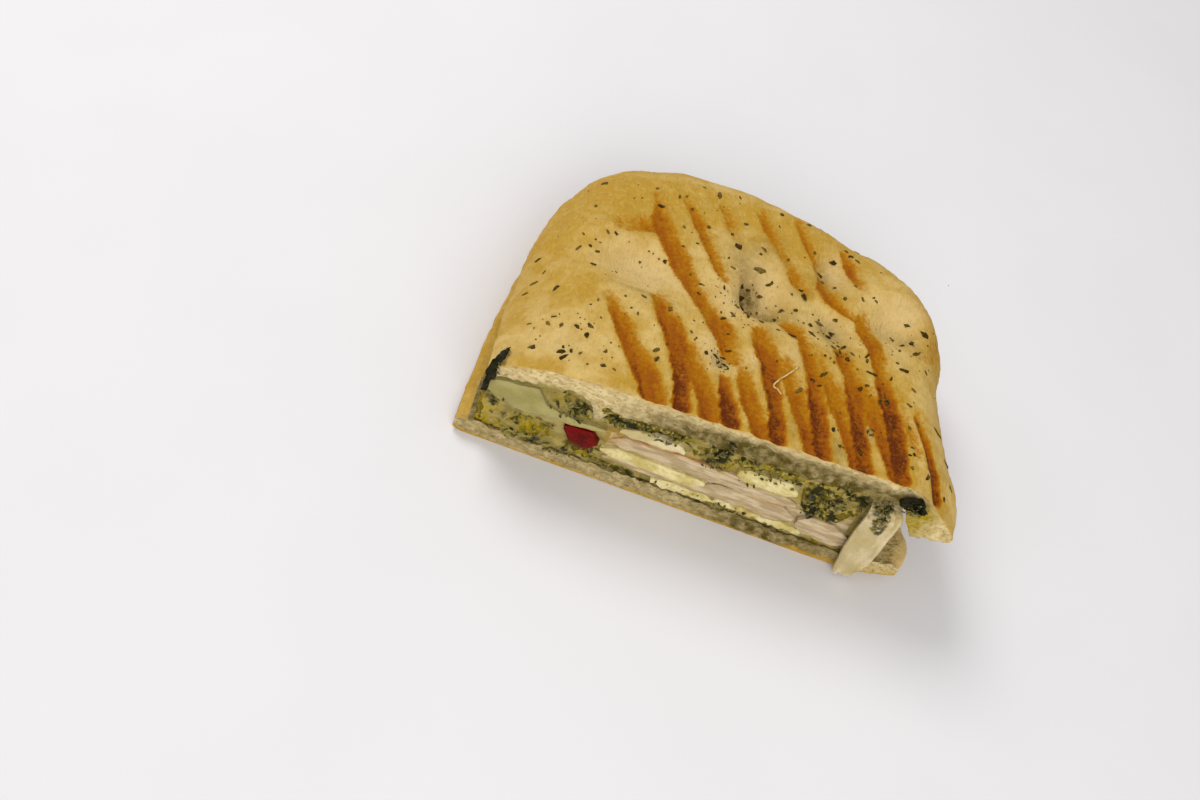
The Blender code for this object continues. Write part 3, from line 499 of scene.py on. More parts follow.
# Dried herbs that show in the photo: x, y, length, width, angle in degrees, how dark
HERBS = (
    (-45.4, 7.1, 2.4, 1.5, -60, 1), (-44.4, 5.5, 3.0, 1.5, -40, 1), (-43, 8.1, 1.8, 0.9, 70, 0.9),
    (-45.2, 8.8, 1.3, 0.7, 10, 0.8), (-52.5, 7.5, 2.3, 1.8, 5, 0.8), (-34.2, 6.4, 1.7, 1.4, 30, 0.8),
    (-31.4, 6.2, 1.2, 0.8, 60, 0.5), (-40.4, 14.9, 2.5, 1.5, 0, 1), (-43.2, 16.7, 2.1, 1.3, 50, 0.9),
    (-40.2, 18.5, 2.2, 1.2, -40, 0.7), (-47.2, 16.5, 1.6, 1.2, -20, 0.6), (-50.6, 16.8, 1.6, 1.2, 30, 0.4),
    (-49.8, 19.3, 1.5, 0.7, -60, 0.8), (-55, 16.5, 1.2, 0.6, -60, 0.5), (-34.6, 11.3, 1.6, 0.8, 70, 0.6),
    (-40.5, 8.4, 1.4, 0.7, -40, 0.5), (-51.3, 32.1, 2.7, 1.3, -40, 0.8), (-58.2, 32.3, 2.0, 0.9, -70, 0.6),
    (-57, 36.3, 2.2, 1.2, -60, 0.5), (-43.6, 43.3, 2.2, 1.5, -40, 0.8), (-55.3, 40.6, 1.1, 0.5, -50, 0.8),
    (-57.8, 47.4, 2.4, 0.9, -45, 0.8), (-48.8, 49.6, 1.8, 1.0, -40, 0.6), (-45.8, 50.8, 1.3, 1.1, 0, 0.8),
    (-43.7, 49.4, 1.4, 1.0, 30, 0.8), (-28.4, 36, 1.6, 0.7, 20, 0.7), (-29, 28.8, 2.2, 0.7, 70, 0.6),
    (-40, 29, 1.3, 0.6, 70, 0.5), (-31.1, 30.1, 0.9, 0.7, 0, 0.5), (-33.3, 34.1, 0.9, 0.8, 0, 0.5),
    (-20.8, 35.3, 1.8, 1.6, 0, 0.7), (-14, 46, 1.2, 1.0, 45, 0.7), (-14, 49.6, 1.8, 0.6, 80, 0.8),
    (-14, 29, 1.5, 1.0, 60, 0.5), (-12.6, 26.8, 1.6, 0.6, 60, 0.6), (-9, 23.2, 1.2, 1.0, 0, 0.8),
    (-6.2, 24.2, 2.6, 0.8, -80, 1), (-5.4, 22.2, 2.5, 0.9, -40, 1), (-4.2, 24.4, 1.7, 0.6, 10, 0.9),
    (-3.6, 22, 2.3, 0.7, 50, 0.9), (-2.6, 20.8, 1.2, 0.7, 30, 0.8), (-4.6, 20.4, 1.0, 0.6, 0, 0.7),
    (-3.4, 27.2, 1.9, 0.8, 50, 0.9), (-4.1, 33.6, 1.1, 0.9, 0, 0.8), (-22.4, 17.4, 2.8, 1.3, -55, 0.6),
    (-21.4, 14.6, 2.6, 1.0, -80, 0.7), (-6, 39.3, 2.0, 0.7, 10, 0.9), (-7, 41.5, 1.4, 0.6, 60, 0.7),
    (-3.8, 42, 2.0, 0.8, 75, 0.6), (-2.8, 46.5, 2.0, 1.1, 70, 0.5), (-7.5, 51.2, 2.7, 0.9, 70, 0.9),
    (0.6, 43.6, 3.0, 1.0, 70, 0.9), (4.4, 43, 1.9, 1.3, -20, 0.8), (9.1, 41.5, 1.2, 0.9, 0, 0.7),
    (8.3, 47.6, 1.7, 1.0, 30, 0.8), (9.7, 51.4, 2.0, 1.5, 0, 0.8), (12.9, 40.9, 2.5, 1.0, -40, 0.9),
    (18.6, 44.8, 2.2, 0.9, 40, 0.9), (17.9, 48.3, 1.7, 1.5, 0, 0.9), (24.8, 50.2, 2.4, 1.8, 60, 1),
    (24.2, 48.4, 2.3, 1.6, 20, 1), (28.3, 44.8, 2.1, 0.9, 0, 0.9), (25.3, 43, 1.8, 1.0, 60, 0.5),
    (27.5, 42.8, 2.2, 0.8, -40, 0.9), (26.5, 40.6, 2.5, 1.1, 0, 0.8), (29.5, 39.8, 1.7, 1.2, 40, 0.9),
    (30.7, 42.5, 1.7, 0.7, 60, 0.6), (23, 37.5, 1.0, 0.9, 0, 0.8), (25.6, 36, 1.3, 0.8, 30, 0.6),
    (34.6, 42.9, 3.0, 0.9, -50, 1), (34.8, 41, 1.8, 1.0, 10, 0.6), (36.3, 36.6, 3.4, 0.6, -60, 0.9),
    (41.9, 37.2, 2.1, 0.7, 60, 0.8), (45.3, 42, 3.0, 1.2, -75, 0.9), (43.4, 44.2, 1.2, 0.9, 0, 0.7),
    (44.3, 50.7, 1.6, 0.9, 75, 0.6), (48.4, 35.6, 1.5, 0.8, -60, 0.6), (52.4, 46, 1.5, 1.0, 30, 0.6),
    (47.2, 28.8, 2.0, 0.8, 70, 0.8), (23, 30.3, 3.2, 1.1, 60, 0.8), (20.4, 27, 2.0, 1.3, -40, 0.8),
    (22.3, 25.2, 1.4, 1.0, 0, 0.8), (33.5, 29.3, 2.1, 1.5, 30, 1), (35.1, 31, 1.4, 0.7, 60, 0.8),
    (36.4, 28, 1.3, 0.6, -70, 0.7), (41.2, 27.6, 2.4, 1.7, 20, 0.9), (39.2, 27, 1.4, 1.0, 0, 0.9),
    (40.5, 29.4, 1.7, 0.6, 0, 0.8), (17, 21, 2.5, 1.3, -40, 0.6), (50.2, 23.2, 1.6, 1.3, 0, 0.7),
    (47.8, 21, 1.3, 1.0, 0, 0.6), (43.6, 19.7, 1.2, 1.0, 0, 0.9), (37.9, 16, 1.7, 0.6, 60, 0.7),
    (36.6, 15, 1.7, 0.6, 20, 0.7), (37.6, 13.8, 1.7, 0.8, -40, 0.7), (27.2, 10.7, 1.4, 1.1, 0, 1),
    (29.3, 6, 1.1, 0.9, 0, 0.8), (35.2, 6.6, 2.4, 1.1, 85, 1), (49.5, 11.7, 1.1, 1.0, 0, 1),
    (48.2, 11, 1.0, 0.9, 0, 1), (48.7, 13.8, 1.3, 0.5, 60, 0.8), (49, 6.6, 1.4, 0.9, -20, 0.6),
    (53.6, 5.9, 2.5, 1.1, 20, 0.9), (60.8, 5.5, 1.2, 1.0, 0, 0.8), (-46.6, 83.8, 2.6, 2.1, 60, 0.7),
    (-47.6, 69.3, 1.4, 1.1, 0, 0.6), (-29.4, 78.6, 2.3, 1.4, -60, 0.9), (-31.8, 86.2, 1.3, 1.1, 0, 0.6),
    (-25, 85.4, 2.0, 1.0, 80, 0.7), (-23, 87.2, 1.3, 0.6, 60, 0.6), (-20.6, 82, 1.3, 1.1, 0, 0.6),
    (-18.3, 95, 1.1, 0.9, 0, 0.6), (-13.4, 93.2, 3.6, 1.2, -45, 0.6), (-7.2, 96.1, 1.4, 0.8, 60, 0.6),
    (-4.1, 84.4, 1.7, 0.9, -60, 0.6), (-7.7, 77.5, 2.1, 1.1, -70, 0.8), (-14.8, 76.5, 1.4, 1.1, 0, 0.7),
    (-21.8, 71.8, 1.7, 1.0, 80, 0.6), (-17.2, 66.4, 1.1, 0.8, 0, 0.6), (-20.9, 63.3, 1.2, 0.6, 50, 0.8),
    (-5.3, 72.3, 2.5, 2.1, 10, 1), (-7.8, 64.7, 1.6, 0.6, 80, 0.7), (-6, 61, 1.7, 0.6, 80, 0.6),
    (-40.1, 59, 1.6, 1.0, -40, 0.9), (-48.6, 55.2, 1.1, 0.9, 0, 0.6), (-45, 54, 0.9, 0.8, 0, 0.8),
    (-42.3, 58.6, 1.6, 1.0, 50, 0.4), (-24.8, 55.5, 1.6, 1.3, 20, 1), (-31.3, 53.5, 0.9, 0.8, 0, 0.7),
    (-17.2, 53.2, 1.3, 1.0, 0, 0.6), (-9.7, 56, 1.1, 0.9, 0, 0.6), (-0.8, 56.2, 3.4, 1.5, -30, 1),
    (-1.7, 58.4, 1.5, 1.2, 0, 0.9), (0.2, 58.6, 1.7, 1.0, 30, 0.8), (0.5, 53.8, 2.4, 1.3, 60, 1),
    (2, 64.6, 3.8, 1.9, 25, 0.55), (1.4, 72.3, 1.3, 1.0, 60, 0.7), (2.2, 75.2, 2.6, 0.9, 65, 0.6),
    (5.2, 60.7, 3.0, 1.0, 65, 0.9), (3.5, 56.8, 1.7, 1.0, 50, 0.6), (9.5, 73.9, 1.7, 0.6, 80, 0.7),
    (14.1, 61.6, 2.2, 1.5, 20, 1), (15.2, 59, 3.1, 1.7, -60, 1), (11.7, 58.2, 1.0, 0.8, 0, 0.7),
    (13.3, 52.2, 1.2, 1.0, 0, 0.8), (23.2, 81.1, 2.9, 2.0, 30, 1), (17, 81.2, 1.4, 1.1, 0, 0.6),
    (20.6, 74.7, 3.8, 1.2, 75, 0.8), (20.9, 71.6, 1.6, 0.8, 70, 0.8), (24, 68.2, 1.7, 1.0, 40, 0.5),
    (28.1, 85.8, 1.8, 1.3, 20, 0.8), (26.7, 87.5, 1.6, 0.9, -60, 0.7), (30.1, 84.2, 1.5, 1.0, 0, 0.6),
    (29.9, 71.8, 2.0, 0.9, -70, 0.6), (32, 65.6, 1.7, 0.8, -60, 0.6), (36.1, 66.8, 1.1, 0.8, 0, 0.6),
    (35.2, 67.9, 1.1, 0.6, 30, 0.6), (26.5, 63, 1.5, 1.2, 20, 0.7), (25.2, 54.8, 1.6, 0.8, 40, 0.8),
    (21, 51.6, 3.2, 1.0, -65, 0.5), (46.2, 62.8, 1.9, 1.2, 70, 0.9), (51.3, 60.8, 2.9, 2.5, 30, 1),
    (47.9, 56, 2.1, 1.3, 25, 0.9), (45.3, 54.1, 1.9, 1.3, 0, 0.9), (43.3, 57.5, 1.6, 0.8, 40, 0.7),
    (49.2, 51.5, 3.0, 1.1, -60, 0.7), (58, 77.6, 3.4, 1.6, -65, 1), (5.7, 88, 1.3, 0.6, 60, 0.6),
    (6, 94.6, 2.0, 1.4, 60, 0.7), (14.4, 93.6, 1.6, 1.0, 40, 0.6), (31, 93.4, 1.7, 1.0, 0, 0.9),
    (-38, 22.6, 1.0, 0.5, 40, 0.5), (10.4, 12.2, 1.2, 0.7, 70, 0.8), (57, 26, 3.2, 0.9, 40, 0.8),
    (61, 18.6, 2.6, 1.0, 60, 0.7), (63, 11, 2.4, 0.8, 30, 0.7),
)
HERB_SIDES = 8
HERB_THICKNESS = 0.24
HERB_RAGGED = 0.42
HERB_CURL = (-0.1, 0.25)
HERB_UNEVEN = (-0.03, 0.06)
HERB_LIFT = 0.06
SLOPE_STEP = 0.3
SPECK_SIDES = 5
SPECK_FROM_RIM = 5
SPECKS = 240
SPECK_SIZE = (0.3, 0.85)
SPECK_FIELD = ((-57, 60), (3, 98))
SPECK_CROWDS = (
    (0, 52, 6, 0.2), (27, 44, 5, 0.16), (46, 54, 5, 0.1), (-44, 12, 8, 0.1), (36, 16, 3, 0.06),
    (-5, 22, 3, 0.06),
)
SEED = 7

# Chopped pesto on the cut: x range, z range, y range, how many pieces, share of them that are pale
PESTO_PATCHES = (
    ((-43, -32), (20, 26.5), (-1.3, -0.3), 42, 0.2),
    ((-52, -38), (7, 16), (-0.2, 0.8), 40, 0.5),
    ((-58.5, -48), (5.5, 12), (-0.4, 0.6), 26, 0.5),
    ((-38, -26), (7, 12), (-0.4, 0.6), 18, 0.4),
    ((-33, -5), (24, 28), (-0.9, -0.1), 46, 0.25),
    ((-1.5, 6), (20.5, 26), (-1.1, -0.2), 34, 0.1),
    ((0.5, 4.8), (25, 33), (-1.3, -0.2), 30, 0.0),
    ((6, 28), (25, 30), (-0.8, 0.1), 34, 0.3),
    ((27, 38), (15, 24), (-1.2, -0.2), 40, 0.2),
    ((30, 43), (23, 31), (-1.2, -0.2), 44, 0.2),
    ((43.5, 48.5), (26.5, 31.5), (-2.8, -1.6), 44, 0.05),
    ((45.5, 49.6), (22, 28), (-3.4, -2.8), 24, 0.2),
    ((49, 57), (31.5, 36), (-2.2, -1.0), 26, 0.05),
    ((-26, 44), (5, 8), (-0.3, 0.6), 40, 0.5),
    ((-12, 30), (8, 9.5), (-0.9, -0.4), 16, 0.3),
    ((-58.5, -54), (14, 20), (-0.6, 0.4), 22, 0.3),
    ((-60, -57.5), (24, 31), (-2.4, -0.6), 10, 0.0),
    ((-57, -26), (4.6, 7.2), (-0.5, 0.3), 34, 0.5),
    ((7.5, 26), (24.2, 25.4), (-1.5, -0.7), 18, 0.3),
    ((8, 16), (19.9, 20.9), (-1.4, -0.8), 5, 0.2),
    ((-26, -5), (24.2, 25.2), (-1.4, -0.6), 12, 0.3),
)
PESTO_BIT_SIZE = (0.5, 2.3)

# A bent bit of straw-coloured stalk on the crust: x, y of its bends
STRAW = ((16.2, 29.6), (13.2, 25.2), (10.2, 20.4), (11.2, 19), (12.4, 17.2))
STRAW_RADIUS = 0.22
STRAW_SIDES = 6
STRAW_STEPS = 40

# Wet pesto by its material: leaf, body and oil colour, and how much cheese is mixed in
PESTOS = {
    "pesto_ground": ("pesto_dark", "pesto_ground", "pesto_ground_oil", 0.7),
    "pesto_oily": ("pesto_green", "pesto_wet", "pesto_oil", 0.25),
}
PESTO_GLOSS = 0.15
# Soft slices by their material: both colours, grain size and how it is drawn out, roughness, how much
# light passes into it, height of the grain, and where they differ, how oily and how glossy it is
SLICES = {
    "chicken_breast_cooked": ("chicken", "chicken_shade", 1.5, (0.22, 1, 1), 0.45, 0.3, 0.16),
    "cheese_melted": ("cheese", "cheese_shade", 3.4, (0.5, 1, 1), 0.36, 0.35, 0.1, 0.3),
    "mozzarella_melted": ("mozzarella", "mozzarella_shade", 7.0, (0.7, 1, 1), 0.34, 0.4, 0.08, 0.12),
    # The see-through slice: its colour holds painted shade for the shadow seen through it
    "mozzarella_sliced": ("mozzarella_clear_shaded", "mozzarella_milky", 9.0, (0.7, 1, 1), 0.26, 0.4, 0.06, 0.1),
    "cheese_and_pesto_melted": ("sauce", "sauce_shade", 2.4, (0.6, 1, 1), 0.4, 0.2, 0.15, 0.5),
    "mozzarella_run_down": ("melt", "melt_shade", 5.0, (1, 1, 0.5), 0.34, 0.4, 0.1, 0.2),
    "red_pepper_roasted": ("pepper", "pepper_shade", 2.6, (0.6, 1, 1), 0.34, 0.0, 0.12, 0.0, 0.1),
}
# Material and slot of each filling
DRESSED_AS = {
    "pesto_lower": ("pesto_oily", "pesto"),
    "pesto_upper": ("pesto_ground", "pesto"),
    "red_pepper": ("red_pepper_roasted", "red_pepper"),
    "mozzarella_slice": ("mozzarella_sliced", "mozzarella"),
    "cheese_white": ("mozzarella_melted", "mozzarella"),
    "cheese_lower": ("cheese_melted", "cheese"),
    "cheese_middle": ("cheese_melted", "cheese"),
    "cheese_yellow": ("cheese_melted", "cheese"),
    "chicken_lower": ("chicken_breast_cooked", "chicken"),
    "chicken_upper": ("chicken_breast_cooked", "chicken"),
    "chicken_end": ("chicken_breast_cooked", "chicken"),
}

# Lamps: name, place in metres, size in metres, watts
LAMPS = (
    ("lamp_overhead", (-0.5, 0.42, 0.78), 0.55, 5.0),
    ("lamp_front", (0.15, -1.0, 0.55), 0.8, 7.2),
)
ROOM_COLOUR = (1.0, 0.99, 1.0, 1.0)
ROOM_STRENGTH = 0.48
FLOOR_SIZE = 3.0

CAMERA_AZIMUTH = -8.0
CAMERA_HEIGHT_ANGLE = 47.0
CAMERA_ROLL = 26.0
CAMERA_LENS = 45.0
SENSOR_WIDTH = 36.0
CAMERA_DISTANCE = 400.0
IMAGE_SIZE = (1200, 800)
# Where the middle of the cut shows in the photo
TARGET = (0.0, 0.0, 3.0)
TARGET_PIXEL = (682, 503)


def linear(colour):
    """An sRGB hex colour as linear red, green and blue."""
    parts = [int(colour[k : k + 2], 16) / 255 for k in (1, 3, 5)]
    return tuple(c / 12.92 if c <= 0.04045 else ((c + 0.055) / 1.055) ** 2.4 for c in parts)


def colour_setting(name, about, colour):
    """A colour that a user may change."""
    return bpy.props.FloatVectorProperty(
        name=name, description=about, subtype="COLOR", size=3, min=0.0, max=1.0, default=linear(colour),
    )


def length_setting(name, about, millimetres):
    """A small length that a user may change."""
    return bpy.props.FloatProperty(
        name=name, description=about, unit="LENGTH", subtype="DISTANCE", min=0.0, precision=5,
        default=millimetres * METRES_PER_MM,
    )


class PaniniSizes(bpy.types.PropertyGroup):
    """Sizes of the relief."""

    mark_depth: length_setting("Grill mark depth", "How deep the bars of the grill pressed in", 0.55)
    crust_relief: length_setting("Crust relief", "Height of the crust's soft unevenness", 0.48)
    crumb_relief: length_setting("Crumb relief", "Depth of the pores on the cut bread", 0.6)
    bit_scale: bpy.props.FloatProperty(
        name="Pesto chop", description="Size of the chopped pesto against the modelled one",
        min=0.2, max=3, default=1.0,
    )


class PaniniColours(bpy.types.PropertyGroup):
    """Colours of the food."""

    crust_pale: colour_setting("Pale crust", "Crust that the grill hardly touched", "#DEC27C")
    crust_gold: colour_setting("Golden crust", "Crust browned by the grill's heat", "#BB9233")
    # Dark olive of herb dust and oil with painted shade deep in the hollows; also a faint mottle on the
    # wrinkles
    crust_shade: colour_setting("Crust in deep hollows", "Herb dust and oil deep in hollows", "#5E4A12")
    crust_hollow: colour_setting("Hollow crust", "Pale crust in the hollows", "#D5B77C")
    mark_gold: colour_setting("Mark, lightest", "Grill mark at its lightest", "#AC7200")
    mark_rust: colour_setting("Mark, brown", "Grill mark where the bar pressed hard", "#985200")
    mark_dark: colour_setting("Mark, darkest", "Grill mark at its darkest", "#622902")
    crumb: colour_setting("Crumb", "Inside of the bread", "#DFCA96")
    crumb_shade: colour_setting("Crumb shade", "Denser streaks inside the bread", "#B4985C")
    crumb_soaked: colour_setting("Soaked crumb", "Crumb that took up pesto oil", "#54460E")
    pesto_dark: colour_setting("Pesto leaf", "Chopped basil in the pesto", "#2C2A09")
    pesto_green: colour_setting("Pesto stain", "Chopped basil spread thin", "#4E4610")
    pesto_oil: colour_setting("Pesto oil", "Oily parts of the pesto", "#A68C08")
    pesto_wet: colour_setting("Wet pesto", "Body of the pesto on the bottom bread", "#7E6C00")
    pesto_ground: colour_setting("Ground pesto", "Body of the pesto under the top bread", "#70600E")
    pesto_ground_oil: colour_setting("Ground pesto oil", "Oily parts under the top bread", "#94822A")
    basil_pale: colour_setting("Pale chopped basil", "Palest bits of chopped basil", "#8C7F38")
    chicken: colour_setting("Chicken", "Cooked chicken breast", "#CDB894")
    chicken_shade: colour_setting("Chicken shade", "Darker fibres of the chicken", "#A68F66")
    cheese: colour_setting("Cheese", "Melted pale yellow cheese", "#E2D49C")
    cheese_shade: colour_setting("Cheese shade", "Oily parts of the cheese", "#C0AD62")
    sauce: colour_setting("Melted mix", "Cheese and pesto melted between the layers", "#A8965A")
    sauce_shade: colour_setting("Melted mix shade", "Parts of the mix with more pesto", "#83743A")
    mozzarella: colour_setting("Mozzarella", "Moist white cheese", "#DCCDA0")
    mozzarella_shade: colour_setting("Mozzarella shade", "Thin parts of the white cheese", "#B9A66C")
    # Its own olive tint, darkened with painted shade for the shadow that shows through the thin slice
    mozzarella_clear_shaded: colour_setting("Clear mozzarella", "The see-through slice at the left", "#948A4C")
    mozzarella_milky: colour_setting("Milky mozzarella", "Thicker parts of that slice", "#ADA165")
    melt: colour_setting("Run-down cheese", "Cheese that ran down over the cut", "#D4C198")
    melt_shade: colour_setting("Run-down cheese shade", "Its thinner parts", "#B5A472")
    pepper: colour_setting("Red pepper", "Roasted red pepper", "#6E0300")
    pepper_shade: colour_setting("Red pepper shade", "Darker parts of the pepper", "#4A0300")
    leaf: colour_setting("Basil", "Dark wilted leaf", "#1E1A06")
    herb: colour_setting("Dried herbs", "Dried herb flakes", "#382A0D")
    herb_light: colour_setting("Light herbs", "Paler dried herb flakes", "#78612A")
    straw: colour_setting("Stalk", "Bit of straw-coloured stalk", "#D8BE84")
    ground: colour_setting("Floor", "Plain pale floor", "#E8E6E7")
    ground_shade: colour_setting("Floor shade", "Its slightly darker parts", "#E5E3E4")


def colour_of(name):
    """One of the user's colours, with its alpha."""
    return (*getattr(bpy.context.scene.panini_colours, name), 1.0)


def millimetres_of(name):
    """One of the user's lengths, in millimetres."""
    return getattr(bpy.context.scene.panini_sizes, name) * MM_PER_METRE


def smoothstep(low, high, value):
    """0 below low, 1 above high, and an even S between them."""
    part = np.clip((value - low) / (high - low), 0.0, 1.0)
    return part * part * (3.0 - 2.0 * part)


def blend(start, end, share):
    """The value that lies the given share of the way from start to end."""
    return start + (end - start) * share


def along(points, x):
    """A line through (x, z) points, read at x."""
    xs, zs = zip(*points)
    return np.interp(x, xs, zs)


def curve_through(points, share):
    """A smooth Catmull-Rom curve through the points, read at shares from 0 to 1."""
    knots = np.array(points, dtype=float)
    padded = np.vstack((2 * knots[0] - knots[1], knots, 2 * knots[-1] - knots[-2]))
    place_on = np.clip(share, 0, 1) * (len(knots) - 1)
    index = np.minimum(place_on.astype(int), len(knots) - 2)
    t = (place_on - index)[:, None]
    a, b, c, d = (padded[index + k] for k in range(4))
    return 0.5 * (2 * b + (c - a) * t + (2 * a - 5 * b + 4 * c - d) * t**2 + (3 * b - a - 3 * c + d) * t**3)


def even_curve(points):
    """The curve through the points, walked in equal steps."""
    dense = curve_through(points, np.linspace(0, 1, 8 * RIM_STEPS))
    lengths = np.concatenate(([0], np.cumsum(np.linalg.norm(np.diff(dense, axis=0), axis=1))))
    wanted = np.linspace(0, lengths[-1], RIM_STEPS + 1)
    return np.column_stack([np.interp(wanted, lengths, dense[:, k]) for k in range(2)])


TOP_RIM = even_curve(TOP_OUTLINE)
BOTTOM_RIM = even_curve(BOTTOM_OUTLINE)


def rim_distance(rim, x, y):
    """How far inside the rim each point lies, and the share of the way round of the nearest rim point."""
    start = rim[:-1]
    step = rim[1:] - start
    squared = (step**2).sum(axis=1)
    distances, shares = [], []
    for first in range(0, len(x), POINTS_AT_ONCE):
        part = slice(first, first + POINTS_AT_ONCE)
        dx = x[part, None] - start[None, :, 0]
        dy = y[part, None] - start[None, :, 1]
        share = np.clip((dx * step[:, 0] + dy * step[:, 1]) / squared, 0, 1)
        away = np.hypot(dx - share * step[:, 0], dy - share * step[:, 1])
        nearest = away.argmin(axis=1)
        rows = np.arange(len(nearest))
        distances.append(away[rows, nearest])
        shares.append((nearest + share[rows, nearest]) / len(start))
    return np.concatenate(distances), np.concatenate(shares)


def plan(rim, u, v):
    """Spreads a square of cells over the loaf's plan: u along the cut, v from the cut to the back."""
    third = RIM_STEPS // 3
    left, back, right = rim[: third + 1], rim[third : 2 * third + 1], rim[2 * third :][::-1]
    steps = np.linspace(0, 1, third + 1)

    def read(side, share):
        return np.column_stack([np.interp(share, steps, side[:, k]) for k in range(2)])

    u_, v_ = u[:, None], v[:, None]
    cut = blend(left[0], right[0], u_)
    sides = blend(read(left, v), read(right, v), u_)
    ends = blend(cut, read(back, u), v_)
    corners = blend(cut, blend(left[-1], right[-1], u_), v_)
    return (sides + ends - corners).T


def crown(x, y):
    """Height of the upper crust before its rim is rounded."""
    height = CROWN_HEIGHT + CROWN_LEAN * x
    height = height - CROWN_FALL * (np.clip(y, 0, None) / LOAF_DEPTH) ** CROWN_FALL_POWER
    for centre_x, centre_y, half_x, half_y, depth in PRESSED:
        squared = ((x - centre_x) / half_x) ** 2 + ((y - centre_y) / half_y) ** 2
        height = height - depth * np.exp(-PRESSED_SHARPNESS * squared)
    return height


def closing(x, y, closes):
    """How far the two breads have come together at a point, from 0 over the filling to 1 at the rim."""
    away, _ = rim_distance(TOP_RIM, x, y)
    return (1 - smoothstep(RIM_INNER, RIM_OUTER, away)) * smoothstep(*closes, y)


def roof(x, y):
    """The top bread's lower surface."""
    height = blend(along(ROOF_AT_CUT, x), crown(x, y) - TOP_THICKNESS, smoothstep(*ROOF_CLOSES, y))
    return blend(height, LIP_HEIGHT, closing(x, y, ROOF_CLOSES))


def floor(x, y):
    """The bottom bread's upper surface."""
    return blend(FLOOR_HEIGHT, SEAT_HEIGHT, closing(x, y, FLOOR_CLOSES))


def rounded(away, radius, power):
    """Share of the full height that a rounded edge has reached at a distance from it."""
    part = np.clip(1 - away / radius, 0, 1)
    return (1 - part**power) ** (1 / power)


def top_surfaces(x, y):
    """Lower and upper surface of the top bread."""
    away, share = rim_distance(TOP_RIM, x, y)
    low = roof(x, y) + SEAM_ROUNDING * smoothstep(*ROOF_CLOSES, y) * (1 - rounded(away, SEAM_RADIUS, 2))
    radius = np.interp(share, RIM_SHARES, RIM_RADII)
    power = np.interp(share, RIM_SHARES, RIM_POWERS)
    edge = low + RIM_WALL
    return low, edge + (crown(x, y) - edge) * rounded(away, radius, power)


def bottom_surfaces(x, y):
    """Lower and upper surface of the bottom bread."""
    away, _ = rim_distance(BOTTOM_RIM, x, y)
    full = floor(x, y)
    low = BASE_ROUNDING * full * (1 - rounded(away, BASE_RADIUS, 2))
    high = full - FLOOR_ROUNDING * full * (1 - rounded(away, BASE_RADIUS, 2))
    curl = CURL_HEIGHT * smoothstep(*CURL_ACROSS, x) * (1 - smoothstep(*CURL_ENDS, y))
    return low + curl, high + curl


def place(x, y, z):
    """Millimetres from the middle of the cut to metres from the middle of the footprint."""
    return np.column_stack((x - CENTRE_X, y - CENTRE_Y, z)) * METRES_PER_MM


def lumps(points, size, seed):
    """Smooth unevenness from -1 to 1, with lumps of the given size."""
    grid = points / size + SEED_SHIFT * seed
    cell = np.floor(grid).astype(np.int64)
    t = grid - cell
    t = t * t * (3 - 2 * t)
    total = np.zeros(len(points))
    for corner in itertools.product((0, 1), repeat=3):
        in_x, in_y, in_z = ((cell[:, k] + corner[k]) * CELL_PRIMES[k] for k in range(3))
        mixed = in_x ^ in_y ^ in_z ^ (seed * SEED_PRIME)
        mixed = ((mixed ^ (mixed >> 13)) * MIX_PRIME) & 0xFFFFFFFF
        value = ((mixed ^ (mixed >> 15)) & 0xFFFF) / 32767.5 - 1
        total += value * np.prod(np.where(corner, t, 1 - t), axis=1)
    return total


def heaped(points, layers):
    """Unevenness in several sizes: each layer has the size of its lumps, their height and a seed."""
    return sum(tall * lumps(points, size, seed) for size, tall, seed in layers)


def block(name, columns, rows, layers, triangles=False):
    """A closed box of cells, 1 by 1 by 1, as a mesh, with the u, v and w of its corners."""
    bm = bmesh.new()
    bmesh.ops.create_grid(bm, x_segments=columns, y_segments=rows, size=0.5)
    if triangles:
        bmesh.ops.triangulate(bm, faces=bm.faces[:], quad_method="FIXED")
    bmesh.ops.translate(bm, verts=bm.verts, vec=(0.5, 0.5, 0))
    raised = bmesh.ops.extrude_face_region(bm, geom=bm.faces[:])["geom"]
    top = [part for part in raised if isinstance(part, bmesh.types.BMVert)]
    bmesh.ops.translate(bm, verts=top, vec=(0, 0, 1))
    bmesh.ops.recalc_face_normals(bm, faces=bm.faces[:])
    if layers > 1:
        upright = [edge for edge in bm.edges if abs(edge.verts[0].co.z - edge.verts[1].co.z) > 0.5]
        bmesh.ops.subdivide_edges(bm, edges=upright, cuts=layers - 1, use_grid_fill=True)
    mesh = bpy.data.meshes.new(f"{name}_food")
    bm.to_mesh(mesh)
    bm.free()
    return mesh, read_corners(mesh.vertices, "co").T


def read_corners(corners, what):
    """A direction or a place of every corner."""
    flat = np.empty(len(corners) * 3, np.float32)
    corners.foreach_get(what, flat)
    return flat.reshape(-1, 3).astype(float)


def move_corners(mesh, points):
    """Moves the mesh's corners to the given places."""
    mesh.vertices.foreach_set("co", np.ascontiguousarray(points, np.float32).ravel())
    mesh.update()


def paint(mesh, **fields):
    """Keeps a number for each corner, which a material reads."""
    for name, values in fields.items():
        layer = mesh.attributes.new(name, "FLOAT", "POINT")
        layer.data.foreach_set("value", np.ascontiguousarray(values, np.float32))


def face_share(mesh, corner_is):
    """For each face, whether all its corners have the property."""
    counts = np.empty(len(mesh.polygons), np.int32)
    mesh.polygons.foreach_get("loop_total", counts)
    corners = np.empty(len(mesh.loops), np.int32)
    mesh.loops.foreach_get("vertex_index", corners)
    starts = np.concatenate(([0], np.cumsum(counts)[:-1]))
    return np.minimum.reduceat(corner_is[corners].astype(np.int8), starts).astype(bool)


